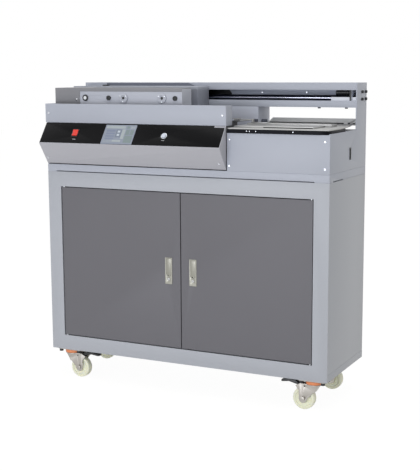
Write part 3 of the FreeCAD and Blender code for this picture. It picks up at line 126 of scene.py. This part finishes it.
floor_paper = bpy.data.materials.new("floor_paper")
floor_paper.use_nodes = True
paper = floor_paper.node_tree
paper.nodes.clear()
matt = add_node(paper, "ShaderNodeBsdfDiffuse", {"Color": linear("F6F4F0")})
glow = add_node(paper, "ShaderNodeEmission",
                {"Color": linear("FFFFFF"), "Strength": floor_glow_level})
share = add_node(paper, "ShaderNodeMath", {1: floor_glow_share}, {0: seen_directly(paper)},
                 operation="MULTIPLY")
mixed = add_node(paper, "ShaderNodeMixShader", links={
    0: share.outputs[0], 1: matt.outputs[0], 2: glow.outputs[0]})
add_node(paper, "ShaderNodeOutputMaterial", links={"Surface": mixed.outputs[0]})

floor_mesh = bmesh.new()
bmesh.ops.create_grid(floor_mesh, x_segments=1, y_segments=1, size=floor_half_width)
floor_data = bpy.data.meshes.new("studio_floor")
floor_mesh.to_mesh(floor_data)
floor_mesh.free()
floor_data.materials.append(floor_paper)
studio_floor = bpy.data.objects.new("studio_floor", floor_data)
bpy.context.scene.collection.objects.link(studio_floor)

for name, place, aim, size, power, tint in lamps:
    lamp = bpy.data.objects.new(name, bpy.data.lights.new(name, "AREA"))
    lamp.data.size = size
    lamp.data.energy = power
    lamp.data.color = linear(tint)[:3]
    lamp.location = place
    lamp.rotation_euler = (Vector(aim) - Vector(place)).to_track_quat("-Z", "Y").to_euler()
    bpy.context.scene.collection.objects.link(lamp)


# Cabinet: a base pan, a shell with its lid and a front frame round the doors,
# folded from sheet steel. A satin powder coat covers them, and each fold has a
# small radius.
fold_radius = 0.0008
fold_segments = 2
sharp_angle = math.radians(32)
smooth_angle = math.radians(35)
flat_angle = math.radians(1)
weld_distance = 0.000005
mm_per_metre = 1000
body_of = {node: body for body, held in record["behaviour"]["bodies"].items() for node in held}


def begin_material(name, colour, **sockets):
    """A material with its shader, and a node for the object's own coordinates."""
    made = bpy.data.materials.new(name)
    made.use_nodes = True
    tree = made.node_tree
    tree.nodes.clear()
    values = {key.replace("_", " "): value for key, value in sockets.items()}
    shader = add_node(tree, "ShaderNodeBsdfPrincipled", {"Base Color": linear(colour), **values})
    add_node(tree, "ShaderNodeOutputMaterial", links={"Surface": shader.outputs[0]})
    add_node(tree, "ShaderNodeTexCoord")
    return made


def parts_of(material):
    """A material's node tree, its shader and the object's own coordinates."""
    tree = material.node_tree
    return (tree, tree.nodes["Principled BSDF"],
            tree.nodes["Texture Coordinate"].outputs["Object"])


def vary_tone(material, patch_mm, colour, second_colour, detail=2.0):
    """Lets the colour drift between two tones, in patches of about patch_mm."""
    tree, shader, place = parts_of(material)
    patches = add_node(tree, "ShaderNodeTexNoise",
                       {"Scale": mm_per_metre / patch_mm, "Detail": detail}, {"Vector": place})
    # A colour mix takes its two colours at sockets 6 and 7 and gives the mix at 2
    tone = add_node(tree, "ShaderNodeMix", {6: linear(colour), 7: linear(second_colour)},
                    {0: patches.outputs["Fac"]}, data_type="RGBA")
    tree.links.new(tone.outputs[2], shader.inputs["Base Color"])


def powder_coat(name, colour, second_colour, roughness=0.42):
    """Sprayed powder, melted to a satin skin with fine orange peel."""
    made = begin_material(name, colour, Roughness=roughness, Specular_IOR_Level=0.32)
    # The spray passes leave cloudy patches, about 300 mm wide
    vary_tone(made, 300, colour, second_colour)
    # Orange peel of 1.5 mm grain, coarser than real so that it shows at all
    peel_mm = 1.5
    tree, shader, place = parts_of(made)
    peel = add_node(tree, "ShaderNodeTexNoise",
                    {"Scale": mm_per_metre / peel_mm, "Detail": 2.0}, {"Vector": place})
    bump = add_node(tree, "ShaderNodeBump", {"Strength": 0.25, "Distance": 0.0001},
                    {"Height": peel.outputs["Fac"]})
    tree.links.new(bump.outputs[0], shader.inputs["Normal"])
    return made


def finish_piece(name, mesh, material, body, replaced=(), accents=()):
    """Turns a bmesh into a piece that rides on a body. Each accent is a material and
    a test of a face's middle."""
    data = bpy.data.meshes.new(name)
    for index, (accent, belongs) in enumerate(accents, 1):
        for face in mesh.faces:
            if belongs(face.calc_center_median()):
                face.material_index = index
    mesh.to_mesh(data)
    mesh.free()
    data.materials.append(material)
    for accent, belongs in accents:
        data.materials.append(accent)
    data.shade_smooth()
    data.set_sharp_from_angle(angle=smooth_angle)
    made = bpy.data.objects.new(name, data)
    bpy.context.scene.collection.objects.link(made)
    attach(made, body)
    if replaced:
        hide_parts(*replaced)
    return made


def drop_solids(mesh, wanted):
    """Removes each separate solid whose middle isn't wanted."""
    waiting = set(mesh.faces)
    unwanted = []
    while waiting:
        stack = [waiting.pop()]
        solid = []
        while stack:
            face = stack.pop()
            solid.append(face)
            for edge in face.edges:
                # More than two faces meet at an edge where two solids touch
                joined = edge.link_faces if len(edge.link_faces) == 2 else ()
                for neighbour in joined:
                    if neighbour in waiting:
                        waiting.discard(neighbour)
                        stack.append(neighbour)
        corners = [vert.co for face in solid for vert in face.verts]
        low = Vector([min(co[i] for co in corners) for i in range(3)])
        high = Vector([max(co[i] for co in corners) for i in range(3)])
        if not wanted((low + high) / 2):
            unwanted += solid
    bmesh.ops.delete(mesh, geom=unwanted, context="FACES")
    # Triangles that two touching solids had in common are made again
    open_edges = [edge for edge in mesh.edges if len(edge.link_faces) == 1]
    bmesh.ops.holes_fill(mesh, edges=open_edges, sides=3)


def fold_edges(name, material, radius=fold_radius, wanted=None, label="formed", accents=()):
    """A copy of a CAD node with its sharp edges rounded, which stands for the node."""
    mesh = bmesh.new()
    mesh.from_mesh(nodes[name].data)
    bmesh.ops.remove_doubles(mesh, verts=mesh.verts, dist=weld_distance)
    if wanted:
        drop_solids(mesh, wanted)
    bmesh.ops.dissolve_limit(mesh, angle_limit=flat_angle, verts=mesh.verts,
                             edges=mesh.edges)
    sharp = [edge for edge in mesh.edges
             if len(edge.link_faces) == 2 and edge.calc_face_angle() > sharp_angle]
    bmesh.ops.bevel(mesh, geom=sharp, offset=radius, segments=fold_segments, profile=0.5,
                    affect="EDGES", clamp_overlap=True, material=-1)
    return finish_piece(name + "_" + label, mesh, material, body_of[name],
                        replaced=(name,), accents=accents)


cabinet_coat = powder_coat("cabinet_powder_coat", "B2B5BC", "AEB1B8")
for name in ("front_frame", "cabinet_shell", "cabinet_base"):
    fold_edges(name, cabinet_coat)


# Doors: pressed steel pans in a darker grey coat. Each hangs on two ground steel
# pins at its outer edge.
door_coat = powder_coat("dark_grey_powder_coat", "6C6B70", "69686D", 0.45)
for name in ("left_door", "right_door"):
    fold_edges(name, door_coat)


def ground_steel(name, colour, roughness, along="X", metallic=1.0):
    """Steel ground along one axis. Along all three it is an even, plated skin."""
    # The fine lines spread the highlight across them. They lie 1.1 mm apart, coarser
    # than real, and are 44 mm long
    line_gap_mm = 1.1
    line_length_mm = 44
    made = begin_material(name, colour, Roughness=roughness, Metallic=metallic)
    tree, shader, place = parts_of(made)
    squeeze = [1.0 if axis in along else line_length_mm / line_gap_mm for axis in "XYZ"]
    stretched = add_node(tree, "ShaderNodeMapping", {"Scale": squeeze}, {"Vector": place})
    lines = add_node(tree, "ShaderNodeTexNoise",
                     {"Scale": mm_per_metre / line_length_mm, "Detail": 3.0},
                     {"Vector": stretched.outputs[0]})
    # Sockets 3 and 4 are the lowest and highest roughness
    spread = add_node(tree, "ShaderNodeMapRange", {3: roughness - 0.06, 4: roughness + 0.1},
                      {0: lines.outputs["Fac"]})
    tree.links.new(spread.outputs[0], shader.inputs["Roughness"])
    bump = add_node(tree, "ShaderNodeBump", {"Strength": 0.12, "Distance": 0.00005},
                    {"Height": lines.outputs["Fac"]})
    tree.links.new(bump.outputs[0], shader.inputs["Normal"])
    return made


def put_on(names, material):
    """Gives CAD nodes that stay as they are their material."""
    for name in names:
        for held in nodes[name].material_slots:
            held.material = material


bright_steel = ground_steel("ground_steel", "D3D6DA", 0.22)
put_on(("door_hinge_pins",), bright_steel)


# Latches: a satin steel case let into each door, with a lever paddle and a
# round stainless release button under it.
case_edge = 0.0004
paddle_edge = 0.0005
button_edge = 0.0003
latch_steel = ground_steel("satin_latch_steel", "95948B", 0.38, along="Z")
brushed_stainless = ground_steel("brushed_stainless_sheet", "A9A9A8", 0.42)
for side in ("left", "right"):
    fold_edges(side + "_lock_case", latch_steel, case_edge)
    fold_edges(side + "_lock_paddle", latch_steel, paddle_edge)
    fold_edges(side + "_lock_button", brushed_stainless, button_edge)


# Caster plates and forks: pressed steel with a warm, dull zinc plating. The
# plates are bolted under the cabinet, and the forks turn on their king pins.
pressed_edge = 0.0005
zinc_plate = ground_steel("zinc_plate", "ACA8A2", 0.38, along="XYZ")
corners = ("front_left", "front_right", "rear_left", "rear_right")
for name in ("caster_plates",) + tuple("caster_fork_" + corner for corner in corners):
    fold_edges(name, zinc_plate, pressed_edge)


# Caster wheels: solid moulded nylon, cream and slightly translucent, with a
# rounded tread and a shallow ring in each face. They turn on the forks' axles.
nylon = begin_material("cream_nylon", "F2F2DC", Roughness=0.35, Subsurface_Weight=0.25,
                       Subsurface_Scale=0.004, Subsurface_Radius=(1.0, 0.9, 0.6))
# Nylon yellows unevenly, in clouds about 17 mm wide
vary_tone(nylon, 17, "F5F5E1", "EBECD0")
turning_steps = 72
# Radius and half width along the wheel's section, in metres
wheel_section = (
    # Hub
    (0.0041, 0.0150), (0.0115, 0.0150), (0.0120, 0.0145), (0.0120, 0.0125),
    # Ring in the face
    (0.0148, 0.0124), (0.0156, 0.0118), (0.0162, 0.0098), (0.0172, 0.0095),
    (0.0262, 0.0095), (0.0272, 0.0098), (0.0279, 0.0118), (0.0287, 0.0124),
    # Rim and tread
    (0.0325, 0.0124), (0.0345, 0.0120), (0.0361, 0.0108), (0.0371, 0.0092),
    (0.0374, 0.0072), (0.0375, 0.0040), (0.0375, 0.0000))
joints = {joint["name"]: joint for joint in record["behaviour"]["joints"]}
for corner in corners:
    spin = joints["wheel_spin_" + corner]
    axle = Vector(spin["axis"])
    centre = Vector(spin["pos_m"])
    forward = axle.cross(Vector((0, 0, 1)))
    mesh = bmesh.new()
    outline = list(wheel_section) + [(r, -w) for r, w in reversed(wheel_section[:-1])]
    ring = [mesh.verts.new(centre + forward * r + axle * w) for r, w in outline]
    edges = [mesh.edges.new(pair) for pair in zip(ring, ring[1:] + ring[:1])]
    bmesh.ops.spin(mesh, geom=ring + edges, cent=centre, axis=axle, angle=2 * math.pi,
                   steps=turning_steps, use_merge=True)
    bmesh.ops.remove_doubles(mesh, verts=mesh.verts, dist=weld_distance)
    bmesh.ops.recalc_face_normals(mesh, faces=mesh.faces)
    finish_piece("nylon_wheel_" + corner, mesh, nylon, "wheel_" + corner,
                 replaced=("caster_wheel_" + corner,))


# Dust rings: soft orange plastic rings, moulded and pressed on round the ball
# races between plate and fork.
ring_edge = 0.0006
orange = begin_material("orange_plastic", "E98E5A", Roughness=0.45)
# The moulding's colour is uneven in patches of about 8 mm
vary_tone(orange, 8, "F09A68", "DF8050")
fold_edges("caster_dust_rings", orange, ring_edge)


# Brake pedals: black moulded levers over the front wheels. They have the fine
# grain that spark erosion leaves in a mould, of pits about 0.9 mm apart.
def pitted_skin(name, colour, roughness, pit_mm=0.9):
    """Moulded plastic, knurled steel or cast metal, whose skin is full of small pits."""
    made = begin_material(name, colour, Roughness=roughness)
    tree, shader, place = parts_of(made)
    pits = add_node(tree, "ShaderNodeTexVoronoi", {"Scale": mm_per_metre / pit_mm},
                    {"Vector": place})
    bump = add_node(tree, "ShaderNodeBump", {"Strength": 0.2, "Distance": 0.0001},
                    {"Height": pits.outputs["Distance"]})
    tree.links.new(bump.outputs[0], shader.inputs["Normal"])
    return made


black_plastic = pitted_skin("black_moulded_plastic", "1B1C1E", 0.42)
for name in ("brake_pedal_front_left", "brake_pedal_front_right"):
    fold_edges(name, black_plastic)


# Upper body: a tray on the cabinet's lid with folded panels, deck and housing
# round it, in a bluer coat. The black cable entry and the electrics case sit in it.
blue_grey_coat = powder_coat("blue_grey_powder_coat", "B2B6C1", "AEB2BD")
for name in ("base_tray", "right_front_panel", "right_end_frame", "left_side_panel",
             "right_deck"):
    fold_edges(name, blue_grey_coat)
# The rear housing's coat is a paler copy of the blue-grey coat: painted light that lifts the
# shade behind the console
painted_light_coat = powder_coat("painted_light_beam_coat", "C5C9D6", "C0C4D1")
fold_edges("rear_housing", painted_light_coat)
for name in ("cable_entry", "control_unit"):
    fold_edges(name, black_plastic)


# Console: a folded body with a glossy black sheet on its slope, and an upright
# cover behind. The rocker's bezel and the button's bright ring are let into the sheet.
panel_edge = 0.0004
start_ring_edge = 0.0006
fold_edges("console_cover", blue_grey_coat)
fold_edges("console_body", powder_coat("warm_console_coat", "B2B2B8", "ADADB4"))
gloss_black = begin_material("gloss_black_panel", "0B0B0D", Roughness=0.22,
                             Specular_IOR_Level=0.1)
# Hands leave the gloss hazy in patches of about 70 mm
haze_mm = 70
tree, shader, place = parts_of(gloss_black)
haze = add_node(tree, "ShaderNodeTexNoise", {"Scale": mm_per_metre / haze_mm, "Detail": 4.0},
                {"Vector": place})
smear = add_node(tree, "ShaderNodeMapRange", {3: 0.2, 4: 0.32}, {0: haze.outputs["Fac"]})
tree.links.new(smear.outputs[0], shader.inputs["Roughness"])

control_reach = 0.02
rocker_x = joints["rocker_hinge"]["pos_m"][0]
start_low, start_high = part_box("start_button")
start_x = (start_low.x + start_high.x) / 2


def is_bezel(middle):
    return abs(middle.x - rocker_x) < control_reach


def is_start_ring(middle):
    return abs(middle.x - start_x) < control_reach


fold_edges("console_fascia", gloss_black, panel_edge, label="panel",
           wanted=lambda middle: not is_bezel(middle) and not is_start_ring(middle))
fold_edges("console_fascia", black_plastic, panel_edge, label="rocker_bezel", wanted=is_bezel)
fold_edges("console_fascia", bright_steel, start_ring_edge, label="button_ring",
           wanted=is_start_ring)


# Marks on the console: a short pale line is printed under the rocker and under
# the start button. The slope runs from the console's nose up to its cover.
nose_height = 0.848
mark_thick = 0.00015
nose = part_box("console_body")[0]
nose.z = nose_height
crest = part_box("console_cover")[0]
slope_up = Vector((0, crest.y - nose.y, crest.z - nose.z)).normalized()
slope_out = Vector((1, 0, 0)).cross(slope_up)
# Left, right, low and high edge: across the machine, then up the slope from the nose
rocker_mark = (-0.3940, -0.3820, 0.0180, 0.0205)
start_mark = (-0.0485, -0.0370, 0.0225, 0.0242)


def thicken(mesh, offset):
    """Gives the flat faces of a mesh a thickness."""
    raised = bmesh.ops.extrude_face_region(mesh, geom=mesh.faces[:])["geom"]
    bmesh.ops.translate(mesh, vec=offset,
                        verts=[item for item in raised if isinstance(item, bmesh.types.BMVert)])
    bmesh.ops.recalc_face_normals(mesh, faces=mesh.faces)


def plates_on_slope(name, material, proud, thick, outlines):
    """Thin flat plates that lie on the slope, or stand proud of it."""
    mesh = bmesh.new()
    for left, right, low, high in outlines:
        corners = [Vector((x, nose.y, nose.z)) + slope_up * up + slope_out * proud
                   for x, up in ((left, low), (right, low), (right, high), (left, high))]
        mesh.faces.new([mesh.verts.new(corner) for corner in corners])
    thicken(mesh, slope_out * thick)
    return finish_piece(name, mesh, material, "machine_frame")


pale_mark = begin_material("pale_printed_mark", "A9AAAC", Roughness=0.5)
plates_on_slope("panel_marks", pale_mark, 0.0, mark_thick,
                (rocker_mark, start_mark))


# Console controls: a glossy red rocker, a lit touch panel behind glass and a
# turned aluminium start button, each let into the black sheet.
rocker_edge = 0.0006
screen_edge = 0.0004
cap_edge = 0.0004
rocker_red = begin_material("red_rocker_plastic", "E2301F", Roughness=0.25, Coat_Weight=0.3)
# The translucent plastic's colour is uneven in patches of about 11 mm
vary_tone(rocker_red, 11, "F03A28", "D42417")
fold_edges("power_rocker", rocker_red, rocker_edge)
screen_glass = begin_material("lit_touch_panel", "8D95A3", Roughness=0.2)
# The light behind the glass is uneven in patches of about 40 mm
vary_tone(screen_glass, 40, "9198A5", "878F9F")
fold_edges("touch_screen", screen_glass, screen_edge)
pale_aluminium = ground_steel("satin_aluminium", "C6CBD6", 0.45)
button = fold_edges("start_button", pale_aluminium, cap_edge)
# The cap is a hair slimmer than its ring's bore, so that it slides in freely
cap_share = 0.984
cap_places = [vert.co for vert in button.data.vertices]
cap_middle = sum(cap_places, Vector()) / len(cap_places)
button.data.transform(Matrix.Translation(cap_middle) @ Matrix.Scale(cap_share, 4)
                      @ Matrix.Translation(-cap_middle))


# Page on the touch panel: plain tiles in pale greys, with no words. They lie just
# proud of the glass, which is 1.5 mm wider than the page at each side.
page_margin = 0.0015
page_low = 0.0055
page_high = 0.0785
page_proud = 0.0012
digits_proud = 0.0013
tile_thick = 0.0001
screen_low, screen_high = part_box("touch_screen")
page_left = screen_low.x + page_margin
page_right = screen_high.x - page_margin


def page_tiles(name, colour, shares, proud=page_proud, roughness=0.25):
    """Tiles by their left, top, right and bottom edge, as shares of the page."""
    ink = begin_material(name + "_tone", colour, Roughness=roughness)
    across = page_right - page_left
    tall = page_high - page_low
    outlines = [(page_left + across * left, page_left + across * right,
                 page_high - tall * bottom, page_high - tall * top)
                for left, top, right, bottom in shares]
    plates_on_slope(name, ink, proud, tile_thick, outlines)


page_tiles("page_title", "A6AEB1", ((0.03, 0.04, 0.66, 0.18), (0.58, 0.22, 0.68, 0.74),
                                    (0.34, 0.80, 0.62, 0.90)))
page_tiles("page_menu", "7E879C", ((0.07, 0.26, 0.36, 0.36), (0.07, 0.41, 0.36, 0.50),
                                   (0.07, 0.55, 0.36, 0.64), (0.07, 0.69, 0.36, 0.76)))
page_tiles("page_window", "7B8493", ((0.39, 0.24, 0.57, 0.66),))
page_tiles("page_keys", "7F8D8E", ((0.71, 0.24, 0.83, 0.52), (0.85, 0.24, 0.97, 0.52),
                                   (0.71, 0.56, 0.97, 0.94), (0.71, 0.05, 0.80, 0.18)))
page_tiles("page_lines", "9EA5AD", ((0.05, 0.82, 0.32, 0.85), (0.05, 0.90, 0.32, 0.93),
                                    (0.84, 0.06, 0.97, 0.17)))
page_tiles("page_values", "BFC8D1", ((0.44, 0.29, 0.52, 0.40), (0.44, 0.47, 0.52, 0.58)),
           digits_proud, roughness=0.3)


# Beam: a folded steel channel along the back, open to the front. Its inner faces
# and its low front lip get a paler coat, painted light that lifts the shade there.
beam_sheet = 0.003
inner_margin = 0.002
outer_margin = 0.0025
lip_top = 0.995
beam_low, beam_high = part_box("beam_shell")
# A paler copy of the blue-grey coat: painted light for the shaded inside of the beam
inner_painted_light_coat = powder_coat("painted_light_inner_coat", "D4DAE9", "CDD3E2")


def is_inside_beam(at):
    return beam_low.y + inner_margin < at.y < beam_high.y - outer_margin \
        and beam_low.z + inner_margin < at.z < beam_high.z - outer_margin


def is_front_lip(at):
    return at.y < beam_low.y + inner_margin and at.z < lip_top


fold_edges("beam_shell", blue_grey_coat,
           accents=((inner_painted_light_coat, is_inside_beam), (painted_light_coat, is_front_lip)))


# Guide rods and drive: two steel rods and a black drive screw carry and move the carriage.
# The rods' dark colour is a painted reflection of the beam's dark inside, with one painted
# highlight line along them.
painted_highlight_share = 0.4
painted_highlight_half = 0.0021
rods_low, rods_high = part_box("guide_rods")
painted_highlight_height = rods_low.z + (rods_high.z - rods_low.z) * painted_highlight_share
painted_reflection_rod = begin_material("painted_reflection_guide_rod", "262838", Roughness=0.25, Metallic=1.0)
tree, shader, place = parts_of(painted_reflection_rod)
height = add_node(tree, "ShaderNodeSeparateXYZ", links={0: place}).outputs["Z"]
# A bright band at one height along the rods: the painted highlight
in_painted_highlight = add_node(tree, "ShaderNodeMath", {1: painted_highlight_height, 2: painted_highlight_half},
                   {0: height}, operation="COMPARE")
tone = add_node(tree, "ShaderNodeMix", {6: linear("262838"), 7: linear("D3D5E2")},
                {0: in_painted_highlight.outputs[0]}, data_type="RGBA")
tree.links.new(tone.outputs[2], shader.inputs["Base Color"])
put_on(("guide_rods",), painted_reflection_rod)
put_on(("drive_motors", "drive_screw"), black_plastic)


# End stops in the beam: off-white moulded blocks, a black post and a ribbed black
# buffer with a bright washer. Two black screws sit in the post's painted right face, whose pale
# inner coat is also painted light against the shade at the beam's end.
stop_edge = 0.0006
blocks_top = 0.995
washer_x = 0.496
washer_reach = 0.001
post_face = 0.505
painted_light_reach = 0.0005
post_screws = ((post_face, 0.1330, 1.0155), (post_face, 0.1437, 1.0070))
off_white_plastic = pitted_skin("off_white_plastic", "DFE2EA", 0.5)


def is_block(middle):
    return middle.z < blocks_top


def is_washer(middle):
    return abs(middle.x - washer_x) < washer_reach


fold_edges("beam_stops", off_white_plastic, stop_edge, label="blocks", wanted=is_block)
fold_edges("beam_stops", black_plastic, stop_edge, label="post_and_buffer",
           wanted=lambda middle: not is_block(middle) and not is_washer(middle),
           accents=((inner_painted_light_coat, lambda at: at.x > post_face - painted_light_reach),))
fold_edges("beam_stops", bright_steel, stop_edge, label="washer", wanted=is_washer)


def discs(name, material, body, axis, places, radius, thick):
    """Small flat screws or studs: each place is the middle of the face that is seated."""
    disc_sides = 24
    taper_share = 0.86
    mesh = bmesh.new()
    turn = Vector((0, 0, 1)).rotation_difference(axis).to_matrix().to_4x4()
    for place in places:
        middle = Vector(place) + axis * thick / 2
        bmesh.ops.create_cone(mesh, cap_ends=True, segments=disc_sides, radius1=radius,
                              radius2=radius * taper_share, depth=thick,
                              matrix=Matrix.Translation(middle) @ turn)
    return finish_piece(name, mesh, material, body)


rightwards = Vector((1, 0, 0))
forwards = Vector((0, -1, 0))
discs("end_post_screws", black_plastic, "machine_frame", rightwards,
      post_screws, radius=0.0030, thick=0.0012)


# Back wall inside the beam: two small bright screws, and a black cover strip
# whose rounded right end shows beside the parked carriage.
wall_face = beam_high.y - beam_sheet
wall_screws = ((0.1450, wall_face, 1.0170), (0.3120, wall_face, 1.0180))
cover_gap = 0.0005
cover_thick = 0.0015
cover_left = -0.120
cover_foot = 1.0010
cover_top = 1.0300
# Across the machine and up, from the left end over the rounded right end
cover_outline = (
    (cover_left, cover_foot), (cover_left, cover_top), (0.0100, cover_top),
    (0.0185, 1.0255), (0.0250, 1.0180), (0.0290, 1.0080), (0.0295, cover_foot))
discs("beam_wall_screws", bright_steel, "machine_frame", forwards,
      wall_screws, radius=0.0028, thick=0.0012)
mesh = bmesh.new()
mesh.faces.new([mesh.verts.new((x, wall_face - cover_gap, z)) for x, z in cover_outline])
thicken(mesh, forwards * cover_thick)
finish_piece("beam_wall_strip", mesh, black_plastic, "machine_frame")


# Cover table: a matt stainless sheet with an upright rear edge, over a black tray whose
# coat is painted darker than black plastic, as the shade under the table. On it lie two brushed
# nip plates and a small guide with blued knobs.
plate_edge = 0.0005
knob_edge = 0.0003
rear_edge_front = 0.1885
rear_edge_foot = 0.9145
black_and_shade_coat = begin_material("black_and_painted_shade_coat", "0A0A10", Roughness=0.5,
                           Specular_IOR_Level=0.12)
# Dust greys the coat in patches of about 22 mm
vary_tone(black_and_shade_coat, 22, "07070C", "11121A", detail=3.0)
fold_edges("table_tray", black_and_shade_coat)
matt_steel = ground_steel("matt_stainless_bar", "B4B4B3", 0.6, metallic=0.25)
# The upright rear edge is a paler, non-metal copy of the steel: painted light that lifts the
# shade under the beam
painted_light_rear_edge = ground_steel("painted_light_satin_bar", "EFEFED", 0.6, metallic=0.0)
fold_edges("cover_table", matt_steel, plate_edge, accents=(
    (painted_light_rear_edge, lambda at: at.y > rear_edge_front and at.z > rear_edge_foot),))
for name in ("front_nip_plate", "rear_nip_plate", "cover_guide"):
    fold_edges(name, brushed_stainless, plate_edge)
blued_knob = pitted_skin("blued_knurled_knob", "343846", 0.4)
for name in ("guide_knob_left", "guide_knob_right"):
    fold_edges(name, blued_knob, knob_edge)


# Trims of the cover table: bright studs on the tray's front, and black strips in the slots
# of the upright rear edge and under the nip plate's front, which stand for the shadow in these
# gaps.
tray_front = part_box("table_tray")[0].y
table_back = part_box("cover_table")[1].y
nip_plate_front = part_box("front_nip_plate")[0].y
stud_height = 0.9020
stud_places = (0.244, 0.254, 0.276, 0.403)
rubber_edge = 0.0004
strip_ends = ((0.1765, 0.4520), (0.4625, 0.4925))
strip_foot = 0.9110
strip_top = 0.9170
strip_thick = 0.0012
shadow_strip_edge = 0.0002
shadow_strip_front = nip_plate_front - 0.0006
shadow_strip_low = (0.2850, shadow_strip_front, 0.9115)
shadow_strip_high = (0.4545, shadow_strip_front + 0.0008, 0.9142)
discs("tray_studs", bright_steel, "nip_table", forwards,
      [(x, tray_front, stud_height) for x in stud_places], radius=0.0016, thick=0.0010)


def small_blocks(name, material, body, edge, boxes):
    """Small blocks with soft edges: low and high corner of each, in metres."""
    mesh = bmesh.new()
    for low, high in boxes:
        low, high = Vector(low), Vector(high)
        size = high - low
        bmesh.ops.create_cube(mesh, size=1.0, matrix=Matrix.Translation((low + high) / 2)
                              @ Matrix.Diagonal((size.x, size.y, size.z, 1)))
    bmesh.ops.bevel(mesh, geom=mesh.edges[:], offset=edge, segments=fold_segments,
                    profile=0.5, affect="EDGES", clamp_overlap=True, material=-1)
    return finish_piece(name, mesh, material, body)


small_blocks("table_edge_painted_shadow", black_and_shade_coat, "nip_table", rubber_edge,
             [((left, table_back, strip_foot), (right, table_back + strip_thick, strip_top))
              for left, right in strip_ends])
small_blocks("front_nip_painted_shadow", black_and_shade_coat, "front_nip", shadow_strip_edge,
             ((shadow_strip_low, shadow_strip_high),))


# Stations under the carriage: a milling cutter and a glue roller of ground steel,
# and a glue tank of dark cast metal with a 2 mm grain.
put_on(("milling_cutter", "glue_roller"), bright_steel)
put_on(("glue_tank",), pitted_skin("dark_cast_metal", "5A5A5C", 0.6, pit_mm=2))


# Clamp carriage: matt blue-grey jaws and plates, painted paler as light, under warm dark grey
# folded covers, with a frame painted darker as shade, a strip of painted shade along the rear
# cap and a rubber bumper on it.
jaw_edge = 0.0006
shade_strip_foot = 1.0402
shade_strip_front = 0.097
bumper_low = (-0.4400, 0.0835, 1.0400)
bumper_high = (-0.4160, 0.0915, 1.0440)
dark_cover_coat = powder_coat("dark_cover_powder_coat", "8B8B8F", "86868A")
shade_strip_coat = powder_coat("painted_shade_strip_coat", "6E727F", "6A6E7B")
# The clamp's coat is the blue-grey coat made paler: painted light against the shade under the
# cover's lip
painted_light_clamp_coat = powder_coat("painted_light_matt_clamp", "C0C3CD", "BCBFC9")
# The frame's coat is the blue-grey coat darkened: painted shade for the shade the frame sits in
painted_shade_carriage_coat = powder_coat("painted_shade_carriage", "8F929D", "8B8E99")
fold_edges("clamp_cover", dark_cover_coat, label="front", wanted=lambda middle: middle.y < 0)
fold_edges("clamp_cover", blue_grey_coat, label="rear", wanted=lambda middle: middle.y > 0,
           accents=((shade_strip_coat, lambda at: at.z > shade_strip_foot and at.y > shade_strip_front),))
fold_edges("carriage_frame", painted_shade_carriage_coat, jaw_edge)
for name in ("clamp_front_plate", "moving_jaw"):
    fold_edges(name, painted_light_clamp_coat, jaw_edge)
put_on(("clamp_screw",), bright_steel)
small_blocks("rear_cap_bumper", black_and_shade_coat, "carriage", rubber_edge,
             ((bumper_low, bumper_high),))


# Fittings on the clamp's front: two painted flanges round the guide shafts, two
# black tie bolts and a black ring round the clamp screw, all at one height. One
# bright screw holds the cover beside them, with a black disc below and left of it as its painted
# shadow.
fitting_edge = 0.0004
flange_edge = 0.0006
fitting_reach = 0.003
shafts = (-0.241, -0.091)
tie_bolts = (-0.299, -0.040)
clamp_screw = Vector(joints["clamp_screw_turn"]["pos_m"])
cover_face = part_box("clamp_cover")[0].y
cover_screw = (-0.4286, cover_face, 0.9973)
cover_screw_shadow = (-0.4316, cover_face, 0.9938)


def stands_at(middle, places):
    """Whether a fitting's middle lies on the clamp's front, at one of these places."""
    return any((middle - Vector((x, cover_face, clamp_screw.z))).length < fitting_reach
               for x in places)


def is_black_fitting(middle):
    return stands_at(middle, tie_bolts + (clamp_screw.x,))


def is_flange(middle):
    return stands_at(middle, shafts)


fold_edges("clamp_fittings", black_plastic, fitting_edge, label="black",
           wanted=is_black_fitting)
fold_edges("clamp_fittings", painted_light_clamp_coat, flange_edge, label="flanges", wanted=is_flange)
fold_edges("clamp_fittings", bright_steel, fitting_edge, label="bright",
           wanted=lambda middle: not is_black_fitting(middle) and not is_flange(middle))
discs("shaft_sockets", black_plastic, "carriage", forwards,
      [(x, cover_face, clamp_screw.z) for x in shafts], radius=0.0050, thick=0.0012)
discs("cover_screw_white", bright_steel, "carriage", forwards,
      [cover_screw], radius=0.0032, thick=0.0014)
discs("cover_screw_shadow", black_plastic, "carriage", forwards,
      [cover_screw_shadow], radius=0.0017, thick=0.0016)


# Bolts and screws: zinc-plated screws on the panels, black oxide bolts under the
# caster plates, under the beam and at its right end.
bolt_edge = 0.0003
door_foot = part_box("left_door")[0].z
right_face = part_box("right_end_frame")[1].x
deck_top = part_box("right_deck")[1].z


def is_black_bolt(middle):
    under_beam = middle.y > beam_low.y and middle.z > deck_top
    return middle.z < door_foot or middle.x > right_face or under_beam


fold_edges("bolts_and_screws", black_plastic, bolt_edge, label="black",
           wanted=is_black_bolt)
fold_edges("bolts_and_screws", bright_steel, bolt_edge, label="plated",
           wanted=lambda middle: not is_black_bolt(middle))
